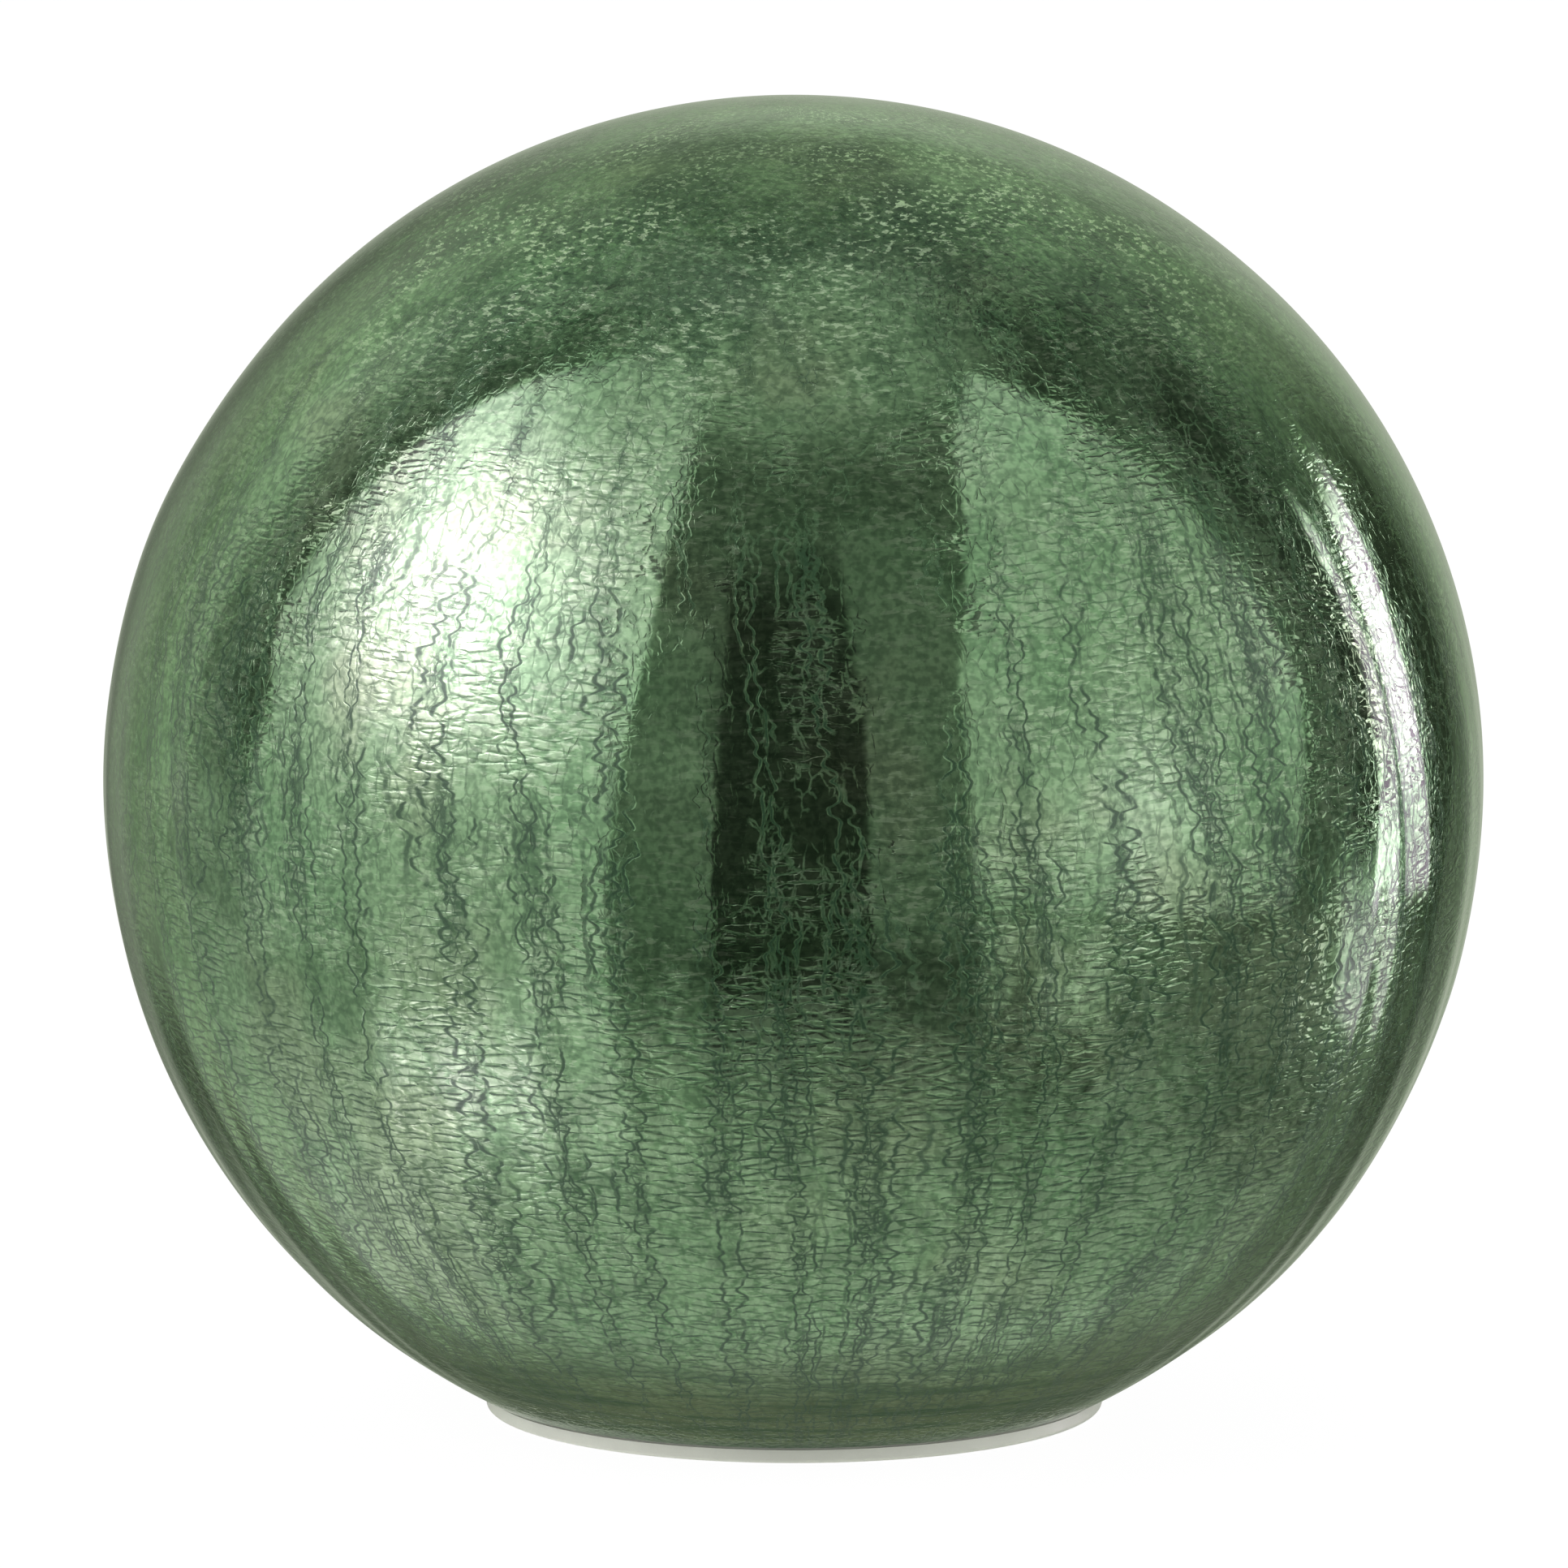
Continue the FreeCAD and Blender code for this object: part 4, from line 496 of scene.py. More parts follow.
def mirror_glass_material(finish, cracks):
    """Green mirror under clear glass. The cracks crowd into upright veins between the ribs, where small domed cells
    stand in chains, and leave smoother panes on the ribs, crossed by a few larger cells and by the level strokes
    between flat cells. A crack scatters a little light and mirrors less, so it draws dark on a bright reflection and
    pale on a dark one, while the clear coat over it is smooth."""
    material, w, shader = new_material("mirrored_crackle_glass")
    place = w.object_place()
    outward = w.vector("NORMALIZE", w.vector("SUBTRACT", place, GLASS_CENTRE))
    height = w.parts(outward)["Z"]
    meridian = w.parts(w.node("ShaderNodeUVMap", uv_map="meridian").outputs["UV"])
    crowded = w.node("ShaderNodeAttribute", attribute_name="crowding").outputs["Fac"]
    aloft = w.step(height, 0.58, 0.90)
    below = w.step(height, 0.1, -0.45)

    # Veins, in rib widths from the nearest vein's middle. They are straighter and narrower in the lower half, and
    # their waves change with height more than across, which keeps the lines in them from swelling. One line wanders
    # along each vein and another beside it, and threads run between them
    drift = w.times(w.noise(place, 22.0, 2.0), w.step(height, -0.3, 0.5, 0.5, 1.6))
    upright = w.vector("MULTIPLY", place, (0.2, 0.2, 1))
    sway = w.plus(drift, w.times(w.noise(upright, 300.0, 2.0), 0.26))
    from_vein = w.math("ABSOLUTE", w.minus(w.math("FRACT", w.plus(meridian["X"], sway)), 0.5))
    crowding = w.plus(w.noise(place, 34.0, 3.0, 0.6), w.times(crowded, 0.14))
    vein_width = w.plus(w.step(crowding, 0.36, 0.64, 0.0, 0.15), w.step(height, 0.66, 0.86, 0.0, 0.5))
    vein = w.step(w.minus(from_vein, vein_width), -0.09, 0.11, 1.0, 0.0)
    vein = w.times(vein, w.step(w.noise(place, 70.0, 2.0), 0.35, 0.55, 0.45, 1.0))
    vein = w.times(vein, w.step(crowding, 0.32, 0.44, 0.15, 1.0))
    edge = w.minus(from_vein, w.step(w.noise(upright, 420.0, 1.0), 0.3, 0.7, 0.02, 0.16))
    edge = w.step(w.math("ABSOLUTE", edge), 0.010, 0.038, 1.0, 0.0)
    outer = w.minus(from_vein, w.step(w.noise(upright, 380.0, 1.0), 0.3, 0.7, 0.19, 0.34))
    outer = w.step(w.math("ABSOLUTE", outer), 0.010, 0.038, 1.0, 0.0)
    outer = w.times(outer, w.step(crowding, 0.44, 0.54))
    edge = w.times(w.larger(edge, outer), w.step(height, 0.75, 0.35))
    edge = w.times(edge, w.step(crowding, 0.26, 0.36))
    thread = w.times(w.plus(meridian["X"], w.times(sway, 1.3)), 2.6)
    thread = w.math("ABSOLUTE", w.minus(w.math("FRACT", thread), 0.5))
    thread = w.step(thread, 0.03, 0.10, 1.0, 0.0)
    thread_share = w.times(w.step(crowding, 0.45, 0.58, 0.2, 1.0), w.step(height, 0.7, 0.45))
    thread = w.times(thread, thread_share)

    # Three sizes of cells: wide and fine ones, a little upright, and level ones on the place rolled out as a cylinder
    stretched = w.vector("MULTIPLY", place, (1, 1, UPRIGHT_STRETCH))
    across = w.vector("NORMALIZE", w.vector("MULTIPLY", outward, (1, 1, 1 / UPRIGHT_STRETCH)))
    around = w.vector("NORMALIZE", w.vector("MULTIPLY", outward, (1, 1, 0)))
    fall = w.times(meridian["Y"], math.pi * GLASS_RADIUS * LEVEL_SQUEEZE)
    fall = w.plus(fall, w.times(w.noise(place, 60.0, 2.0), 8 * MM))
    fallen = w.node("ShaderNodeCombineXYZ", {"Z": fall}).outputs[0]
    rolled = w.vector("ADD", w.vector("SCALE", around, scale=GLASS_RADIUS), fallen)
    wide, fine, level = (
        w.node(
            "ShaderNodeGroup",
            {"Vector": vector, "Outward": out, "Cells per metre": 1 / size, "Half width": width, "Wobble": wobble},
            node_tree=cracks,
        ).outputs
        for vector, out, size, width, wobble in (
            (stretched, across, finish.cell, finish.crack_width, 1.1 * MM),
            (stretched, across, finish.cell * 0.6, finish.crack_width * 0.9, 0.6 * MM),
            (rolled, around, finish.level_cell, finish.crack_width * 2.8, 2.4 * MM),
        )
    )
    wide_share = w.plus(w.noise(place, 150.0, 3.0, 0.6), w.times(crowded, 0.1))
    wide_share = w.times(w.step(wide_share, 0.34, 0.56, 0.15, 1.0), w.step(below, 0.0, 1.0, 1.0, 0.3))
    level_share = w.plus(w.noise(place, 90.0, 2.0), w.times(crowded, 0.1))
    level_share = w.plus(level_share, w.times(below, 0.2))
    level_share = w.times(w.step(level_share, 0.44, 0.6), w.step(height, 0.8, 0.5))

    line = w.times(wide["Line"], w.times(wide_share, 0.62))
    line = w.larger(line, w.times(fine["Line"], w.times(vein, 0.95)))
    stroke = w.times(level["Line"], w.step(level["Level"], 0.45, 0.8))
    stroke = w.times(stroke, w.step(height, 0.1, -0.2, 0.7, 1.0))
    line = w.larger(line, w.times(stroke, level_share))
    line = w.larger(line, edge)
    line = w.larger(line, w.times(thread, 0.9))
    line = w.times(line, w.step(w.noise(place, 520.0, 2.0), 0.34, 0.5, 0.35, 1.0))
    line = w.times(line, w.step(aloft, 0.0, 1.0, 1.0, 0.4))

    # The silvering: emerald and olive patches, darker in the veins and in dusky patches aloft, with dark nicks and pale
    # flecks that crowd there, and greyer at the foot, down to a dark line along the rim. The pale flecks and the
    # brighter middles of the flat cells are painted glints, and the greyer, darker foot and the dark line are painted
    # shade where the ball sits on its base
    hue = w.noise(place, 26.0, 4.0, 0.6)
    tone = w.mix(w.step(hue, 0.36, 0.5), finish.emerald, finish.mirror)
    tone = w.mix(w.step(hue, 0.52, 0.66), tone, finish.olive)
    tone = w.mix(w.times(vein, w.step(height, 0.5, -0.2, 0.16, 0.32)), tone, finish.deep_and_painted_shade)
    blotch = w.step(w.noise(w.vector("MULTIPLY", place, (1, 1, 0.7)), 170.0, 4.0, 0.65), 0.46, 0.62)
    blotch = w.times(blotch, w.larger(w.larger(vein, below), aloft))
    tone = w.mix(w.times(blotch, 0.48), tone, finish.deep_and_painted_shade)
    dusk = w.times(w.step(w.noise(place, 36.0, 3.0, 0.6), 0.47, 0.6, 0.0, 0.5), aloft)
    tone = w.mix(dusk, tone, finish.deep_and_painted_shade)
    speck = w.noise(place, 900.0, 1.0)
    tone = w.mix(w.step(speck, 0.36, 0.64, 0.0, 0.42), tone, finish.deep_and_painted_shade)
    clump = w.step(w.noise(place, 45.0, 2.0), 0.4, 0.58, 0.25, 1.0)
    dash = w.noise(rolled, 350.0, 2.0, 0.6)
    nick = w.times(w.step(dash, 0.44, 0.37), w.times(clump, w.step(aloft, 0.0, 1.0, 0.3, 0.75)))
    tone = w.mix(nick, tone, finish.deep_and_painted_shade)
    # Painted glints: pale flecks aloft and the brighter middles of the flat cells take the glint colour
    fleck_glint = w.step(dash, 0.56, 0.62)
    fleck_glint = w.times(w.times(fleck_glint, clump), w.step(aloft, 0.0, 1.0, 0.4, 1.0))
    dome_glint = w.times(w.step(level["Distance"], 0.2 * MM, 1.2 * MM), w.times(level_share, 0.25))
    tone = w.mix(w.larger(fleck_glint, dome_glint), tone, finish.spark)
    # Painted shade: the lowest band turns darker and greyer, with dark streaks, where the ball sits on its base
    foot = w.step(height, -0.66, -0.84)
    streak = w.step(w.noise(w.vector("MULTIPLY", place, (1, 1, 16)), 42.0, 3.0, 0.6), 0.42, 0.62, 0.1, 0.85)
    tone = w.mix(w.times(foot, 0.8), tone, finish.foot)
    tone = w.mix(w.times(foot, streak), tone, finish.deep_and_painted_shade)
    # Painted contact shade: a dark line along the rim, where the glass meets the base
    tone = w.mix(w.step(height, -0.872, -0.886, 0.0, 0.85), tone, finish.deep_and_painted_shade)
    w.put(shader.inputs["Base Color"], w.mix(w.times(line, 0.95), tone, finish.crack))
    w.put(shader.inputs["Roughness"], w.plus(0.05, w.times(w.plus(line, vein), 0.08)))
    w.put(shader.inputs["Metallic"], w.step(line, 0.1, 1.0, 1.0, 0.65))

    # Each cell leans its own way, the fine ones by up to four degrees aloft, and is domed
    lean = w.vector("SCALE", w.off_middle(wide["Cell"]), scale=0.008)
    fine_lean = w.times(vein, w.step(aloft, 0.0, 1.0, 0.03, 0.15))
    lean = w.vector("ADD", lean, w.vector("SCALE", w.off_middle(fine["Cell"]), scale=fine_lean))
    normal = w.node("ShaderNodeNewGeometry").outputs["Normal"]
    normal = w.vector("NORMALIZE", w.vector("ADD", normal, lean))
    dome = w.times(w.step(fine["Distance"], 0.0, 0.5 * MM), w.times(vein, 0.45))
    flat_dome = w.times(w.step(level["Distance"], 0.0, 1.6 * MM), w.times(level_share, 1.7))
    depth = w.node("ShaderNodeSeparateColor", {"Color": fine["Cell"]}).outputs["Red"]
    relief = w.minus(dome, w.times(line, w.step(depth, 0.1, 0.9, 0.2, 1.0)))
    grit = w.times(speck, w.step(aloft, 0.0, 1.0, 0.08, 0.7))
    relief = w.plus(relief, w.plus(flat_dome, grit))
    relief = w.times(relief, w.step(aloft, 0.0, 1.0, 1.0, 2.6))
    w.put(shader.inputs["Normal"], w.bump(relief, 0.026 * MM, normal))
    w.put(shader.inputs["Coat Weight"], w.step(foot, 0.0, 1.0, 1.0, 0.35))
    set_sockets(shader, Coat_Roughness=0.02, Coat_IOR=1.4)
    shader.inputs["Specular Tint"].default_value = (*finish.grazing, 1)
    return material


FINISHES = {
    # slot: colour, second colour, metallic, roughness from, to, grain, stretch, bump height
    "clear_sealant": ((0.62, 0.63, 0.55), (0.70, 0.71, 0.64), 0, 0.35, 0.5, 0.6, (1, 1, 1), 0.02),
    "cell_wrap": ((0.05, 0.11, 0.075), (0.07, 0.14, 0.09), 0.6, 0.22, 0.34, 0.5, (1, 0.2, 1), 0.004),
    "plated_steel": ((0.66, 0.65, 0.62), (0.74, 0.73, 0.70), 1, 0.18, 0.34, 0.3, (1, 0.15, 1), 0.004),
    "black_rubber": ((0.022, 0.022, 0.022), (0.035, 0.034, 0.033), 0, 0.6, 0.8, 0.35, (1, 1, 1), 0.02),
    "board_laminate": ((0.012, 0.10, 0.04), (0.02, 0.15, 0.065), 0, 0.25, 0.4, 0.3, (1, 1, 1), 0.004),
    "black_plastic": ((0.02, 0.02, 0.022), (0.032, 0.032, 0.034), 0, 0.42, 0.6, 0.25, (1, 1, 1), 0.01),
    "aluminium_can": ((0.66, 0.67, 0.68), (0.76, 0.77, 0.78), 1, 0.22, 0.36, 0.3, (1, 1, 0.1), 0.003),
    "brown_laminate": ((0.20, 0.10, 0.045), (0.29, 0.16, 0.075), 0, 0.45, 0.6, 0.3, (0.2, 1, 1), 0.01),
    "red_insulation": ((0.50, 0.03, 0.02), (0.60, 0.045, 0.03), 0, 0.32, 0.45, 0.4, (1, 1, 1), 0.006),
    "black_insulation": ((0.02, 0.02, 0.02), (0.035, 0.035, 0.035), 0, 0.35, 0.5, 0.4, (1, 1, 1), 0.006),
    "white_insulation": ((0.68, 0.68, 0.65), (0.76, 0.76, 0.74), 0, 0.35, 0.5, 0.4, (1, 1, 1), 0.006),
    "clear_insulation": ((0.74, 0.75, 0.71), (0.82, 0.83, 0.80), 0, 0.15, 0.3, 0.5, (1, 1, 1), 0.006),
    "clear_plastic": ((0.84, 0.87, 0.86), (0.90, 0.92, 0.91), 0, 0.05, 0.14, 0.8, (1, 1, 0.3), 0.004),
    "copper_wire": ((0.60, 0.27, 0.12), (0.74, 0.40, 0.20), 1, 0.2, 0.34, 0.3, (1, 1, 1), 0.003),
    "clear_resin": ((0.86, 0.85, 0.76), (0.92, 0.91, 0.84), 0, 0.08, 0.2, 0.5, (1, 1, 1), 0.006),
}
SEE_THROUGH = {"clear_insulation": 0.5, "clear_plastic": 0.9, "clear_resin": 0.6, "clear_sealant": 0.25}


def placed_grain(w, grain, values):
    made = w.node("ShaderNodeGroup", values, node_tree=grain)
    return made.outputs["Shade"], made.outputs["Roughness"], made.outputs["Height"]


def plain_finish(slot, grain):
    """A material of two near colours that the shared grain blends, with its roughness and its fine relief."""
    colour_a, colour_b, metallic, low, high, size, stretch, relief = FINISHES[slot]
    material, w, shader = new_material(slot)
    values = {"Grain": size * MM, "Stretch": stretch, "Roughness from": low, "Roughness to": high}
    shade, roughness, height = placed_grain(w, grain, values)
    w.put(shader.inputs["Base Color"], w.mix(shade, colour_a, colour_b))
    w.put(shader.inputs["Roughness"], roughness)
    w.put(shader.inputs["Normal"], w.bump(height, relief * MM))
    set_sockets(shader, Metallic=float(metallic), Transmission_Weight=SEE_THROUGH.get(slot, 0.0))
    return material, w, shader


def frosted_plastic(finish, grain):
    """Satin, slightly clouded moulding: fine spark texture, faint flow clouds and a little light let through."""
    material, w, shader = new_material("frosted_plastic")
    values = {"Grain": 0.35 * MM, "Stretch": (1, 1, 1), "Roughness from": 0.28, "Roughness to": 0.42}
    shade, roughness, height = placed_grain(w, grain, values)
    darker = tuple(c * 0.9 for c in finish.base)
    cloud = w.step(w.noise(w.object_place(), 70.0, 3.0), 0.4, 0.65, 0.0, 0.5)
    base = w.mix(w.times(shade, 0.5), finish.base, darker)
    w.put(shader.inputs["Base Color"], w.mix(cloud, base, darker))
    w.put(shader.inputs["Roughness"], roughness)
    w.put(shader.inputs["Normal"], w.bump(height, 0.012 * MM))
    set_sockets(shader, Transmission_Weight=0.2, IOR=1.49)
    return material


def cell_wrap(grain):
    """A dark foil wrap with a lighter band near each end and bare steel on both ends, set by the length along each
    cell."""
    material, w, shader = plain_finish("cell_wrap", grain)
    low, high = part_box("battery_1")
    along = w.parts(w.object_place())["Y"]
    off_middle = w.math("ABSOLUTE", w.minus(along, (low.y + high.y) / 2))
    half = (high.y - low.y) / 2
    bare, banded, soft = half - 2 * MM, half - 9 * MM, 0.1 * MM
    end = w.step(off_middle, bare, bare + soft)
    band = w.times(w.step(off_middle, banded, banded + soft), w.minus(1.0, end))
    wrap = shader.inputs["Base Color"].links[0].from_socket
    wrap = w.mix(band, wrap, (0.46, 0.47, 0.42))
    w.put(shader.inputs["Base Color"], w.mix(end, wrap, (0.68, 0.67, 0.64)))
    w.put(shader.inputs["Metallic"], w.step(end, 0.0, 1.0, 0.55, 1.0))
    return material


def board_laminate(grain):
    """Green mask over glass fibre, with lighter copper runs along the walls between cells of an even pattern."""
    material, w, shader = plain_finish("board_laminate", grain)
    place = w.object_place()
    values = {"Vector": w.vector("MULTIPLY", place, (1, 1, 0)), "Scale": 260.0, "Randomness": 0.55}
    runs = w.node("ShaderNodeTexVoronoi", values, feature="DISTANCE_TO_EDGE", voronoi_dimensions="2D")
    run = w.step(runs.outputs["Distance"], 0.10, 0.14, 1.0, 0.0)
    base = shader.inputs["Base Color"].links[0].from_socket
    w.put(shader.inputs["Base Color"], w.mix(w.times(run, 0.6), base, (0.05, 0.24, 0.10)))
    return material


# The studio


# Corners of the boxes, the sill and the gap, each (azimuth, elevation), in order round the shape
LEFT_BOX = [(-33, -19), (-109, -19), (-106, 13), (-125, 30), (-124, 56), (-92, 76), (-46, 75), (-29, 62), (-27, 30)]
LEFT_SILL = [(-80, -20), (-108, -20), (-103, 7), (-80, 7)]
RIGHT_BOX = [(28.6, -10), (100, -14), (98, 10), (109, 37), (109, 57), (88, 69), (50, 62), (28.6, 25)]
DARK_GAP = [(-12.6, -25), (15.5, -25), (9, 54), (-15, 54)]


def panel(direction, corners, soft):
    """How far each direction is inside a flat panel with those corners: every edge lies in a plane through the
    ball's middle, and the share is the product of the smooth steps over soft degrees in from those planes."""
    points = np.array([direction_of(*corner) for corner in corners], float)
    inside = np.sign(points.mean(0) @ np.cross(points[0], points[1]))
    share = np.ones(direction.shape[:-1])
    for here, there in zip(points, np.roll(points, -1, 0)):
        across = np.cross(here, there) * inside
        share *= smooth(np.degrees(direction @ (across / np.linalg.norm(across))), 0, soft)
    return share


def bowed_strip(azimuth, elevation, middle, bend, half_width, low, high, soft):
    """An upright strip whose azimuth is middle + bend (elevation - 2)^2, of that half width, between two elevations."""
    off = azimuth - middle - bend * (elevation - 2) ** 2
    return window(off, -half_width, half_width, soft) * window(elevation, low, high, 2, 10)


def studio_light(azimuth, elevation):
    """The light, red, green and blue, that comes from each direction: a soft box on the left with a hot middle, a
    dimmer one on the right, a dark gap and a dim surround between them, two strip lights and a low patch behind on
    the right, a pale wall behind, and a floor that is brightest below the left box. Angles are in degrees."""
    a, e = azimuth, elevation
    direction = direction_of(a, e)
    behind = direction[..., 1]
    light = 0.16 + 0.30 * smooth(e, 60, 78) + 0.26 * smooth(behind, 0.25, 0.75) * smooth(e, 8, 30)
    light += 0.20 * window(a, -150, -124, 16, 6)
    light += 0.30 * smooth(behind, 0.80, 0.95) * (1 - window(a, -160, -130, 20, 10))
    light += 0.06 * window(a, 12, 30, 3) * window(e, -30, 50, 6)
    light += 0.07 * window(a, -34, -12, 4) * window(e, -30, 12, 8)
    light -= 0.10 * window(a, 107, 141, 3) * window(e, -18, 40, 6)
    light += 0.12 * window(a, 132, 165, 8) * window(e, 36, 72, 8)
    light += 0.14 * window(a, -132, -112, 6) * window(e, -4, 58, 6)
    light += 0.07 * window(a, -36, -18, 4) * window(e, 12, 34, 6)
    light -= 0.06 * window(a, -118, -106, 4) * window(e, 8, 30, 8)
    light += 0.20 * window(a, -122, -104, 6) * window(e, -26, -6, 6)
    light -= 0.08 * spot(a, e, (88, 58), 30, 7)

    ground = 0.09 + (0.42 - 0.04 * np.sin(np.radians(a))) * smooth(-e, 18, 62) + 0.12 * window(a, 60, 130, 14)
    ground += 0.24 * smooth(behind, 0.80, 0.95) - 0.10 * smooth(behind, 0.25, 0.5) * smooth(-e, 40, 55)
    ground += 0.40 * window(a, -136, -38, 14) * (1 - smooth(-e, 44, 62))
    ground += 1.10 * spot(a, e, (-67, -37), 13, 9) + 0.35 * spot(a, e, (-47, -25), 9, 8)
    ground += 0.14 * spot(a, e, (-26, -30), 12, 14)
    ground -= 0.13 * window(a, 48, 115, 14) * window(e, -62, -34, 8)
    ground += 0.55 * spot(a, e, (47, -25), 7, 5) + 0.36 * spot(a, e, (48, -14), 12, 6)
    ground += 0.2 * spot(a, e, (66, -36), 8, 6)
    light = blend(light, ground, 1 - smooth(e, -22, -12))

    light = blend(light, 0.62, panel(direction, LEFT_SILL, 3.0))
    glow = 0.66 + 1.05 * spot(a, e, (-63, 28), 32, 19) + 3.05 * spot(a, e, (-72, 31), 16, 14)
    glow += 1.0 * spot(a, e, (-96, 47), 30, 13) + 0.25 * spot(a, e, (-42, 50), 14, 12)
    light = blend(light + 0.35 * spot(a, e, (43, -16), 7, 7), glow, panel(direction, LEFT_BOX, 1.6))
    glow = 0.61 + 0.58 * spot(a, e, (60, 1), 12, 12) + 0.32 * spot(a, e, (92, 14), 9, 9)
    glow += 0.20 * smooth(e, 46, 62) + 0.05 * spot(a, e, (36, 30), 7, 30)
    light = blend(light, glow, panel(direction, RIGHT_BOX, 1.6))
    light = blend(light, 0.045, panel(direction, DARK_GAP, 1.2) * (1 - smooth(e, 38, 54)))
    light += 4.0 * bowed_strip(a, e, 121.9, 0.022, 3.5, -13, 12, 1.0) * (0.4 + 0.6 * smooth(e, -10, 2))
    light += 2.5 * bowed_strip(a, e, 115.2, 0.006, 0.9, -14, 16, 0.7)
    light += 1.1 * bowed_strip(a, e, 108, 0.012, 8, -24, -17, 2.0)

    bright = np.clip(light - 0.5, 0, 1)[..., None]
    tint = np.array([0.97, 1.0, 0.955]) * (1 - bright) + np.array([1.26, 1.0, 1.28]) * bright
    tint = tint * (1 - smooth(behind, 0.3, 0.8)[..., None] * (1 - bright) * np.array([0.08, 0.0, 0.18]))
    return light[..., None] * tint


def studio_surround(settings):
    """A sphere of directions round the ball, each point with its light as a colour attribute, seen in gloss alone."""
    rows, columns = 241, 481
    e, a = np.meshgrid(np.linspace(90, -90, rows), np.linspace(-180, 180, columns), indexing="ij")
    points = (direction_of(a, e) * settings.surround_radius + np.array(GLASS_CENTRE)).reshape(-1, 3)
    faces = grid_faces(rows, columns, False).tolist()
    piece = new_object("studio_surround", mesh_from("studio_surround", points, faces))
    colours = np.concatenate([studio_light(a, e), np.ones_like(a)[..., None]], -1)
    layer = piece.data.attributes.new("studio_light", "FLOAT_COLOR", "POINT")
    layer.data.foreach_set("color", colours.astype(np.float32).ravel())
    material, w, shader = new_material("studio_surround")
    light = w.node("ShaderNodeAttribute", attribute_name="studio_light").outputs["Color"]
    emission = w.node("ShaderNodeEmission", {"Color": light, "Strength": 1.0})
    w.put(material.node_tree.nodes["Material Output"].inputs["Surface"], emission.outputs[0])
    material.node_tree.nodes.remove(shader)
    material.cycles.emission_sampling = "NONE"
    wear(piece, material)
    for ray in ("camera", "diffuse", "transmission", "shadow", "volume_scatter"):
        setattr(piece, "visible_" + ray, False)


def pale_floor(settings):
    """A flat ring of floor from just under the base out to the floor radius, at distances that grow evenly in ratio.
    Its middle is open, hidden by the base, so that the underside can be lit and seen from below."""
    tray_low, tray_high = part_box("base_tray")
    under_base, drop, rings, columns = 1.2 * MM, 0.05 * MM, 24, 96
    radii = np.geomspace((tray_high.x - tray_low.x) / 2 - under_base, settings.floor_radius, rings)
    points = turned(np.column_stack([radii, np.full(rings, -drop)]), columns).reshape(-1, 3)
    faces = grid_faces(rings, columns, True).tolist()
    piece = new_object("pale_floor", mesh_from("pale_floor", points, faces))
    material, w, shader = new_material("pale_floor")
    place = w.object_place()
    shade = w.step(w.noise(place, 9.0, 3.0), 0.3, 0.7)
    w.put(shader.inputs["Base Color"], w.mix(shade, (0.80, 0.80, 0.79), (0.83, 0.83, 0.82)))
    set_sockets(shader, Roughness=0.9, Specular_IOR_Level=0.1, Emission_Strength=0.5)
    shader.inputs["Emission Color"].default_value = (1, 1, 1, 1)
    white = w.node("ShaderNodeEmission", {"Color": (1, 1, 1), "Strength": 1.0}).outputs[0]
    clear = w.node("ShaderNodeBsdfTransparent").outputs[0]
    rays = w.node("ShaderNodeLightPath").outputs
    seen = w.larger(rays["Is Camera Ray"], rays["Is Transmission Ray"])
    top = w.node("ShaderNodeMixShader", {0: w.times(seen, 0.96), 1: shader.outputs[0], 2: white}).outputs[0]
    under = w.times(w.node("ShaderNodeNewGeometry").outputs["Backfacing"], rays["Is Camera Ray"])
    both = w.node("ShaderNodeMixShader", {0: under, 1: top, 2: clear}).outputs[0]
    w.put(material.node_tree.nodes["Material Output"].inputs["Surface"], both)
    wear(piece, material)
    piece.visible_glossy = False


LAMPS = {
    # azimuth, elevation, distance, width, height, watts
    "lamp_left": (-62, 32, 1.3, 0.9, 0.9, 14),
    "lamp_right": (66, 28, 1.3, 0.8, 0.9, 9),
    "lamp_top": (0, 86, 1.5, 1.2, 1.2, 12),
    "lamp_behind": (180, 35, 1.5, 0.9, 0.9, 8),
    "lamp_below": (-25, -60, 1.0, 0.7, 0.7, 6),
}


def area_lamp(name, azimuth, elevation, distance, width, height, power):
    """A soft rectangular lamp in that direction from the ball, facing it. Its own picture isn't seen in gloss."""
    towards = Vector(direction_of(azimuth, elevation))
    lamp = bpy.data.lights.new(name, "AREA")
    lamp.shape, lamp.size, lamp.size_y, lamp.energy = "RECTANGLE", width, height, power
    holder = new_object(name, lamp)
    holder.location = Vector(GLASS_CENTRE) + towards * distance
    holder.rotation_euler = towards.to_track_quat("Z", "Y").to_euler()
    holder.visible_glossy = False


def studio_world():
    world = bpy.data.worlds.new("studio")
    bpy.context.scene.world = world
    world.use_nodes = True
    w = Wiring(world.node_tree)
    rays = w.node("ShaderNodeLightPath").outputs
    direct = w.larger(rays["Is Camera Ray"], rays["Is Glossy Ray"])
    direct = w.larger(direct, rays["Is Transmission Ray"])
    back = world.node_tree.nodes["Background"]
    back.inputs["Color"].default_value = (1, 1, 1, 1)
    w.put(back.inputs["Strength"], w.step(direct, 0.0, 1.0, 0.42, 1.0))


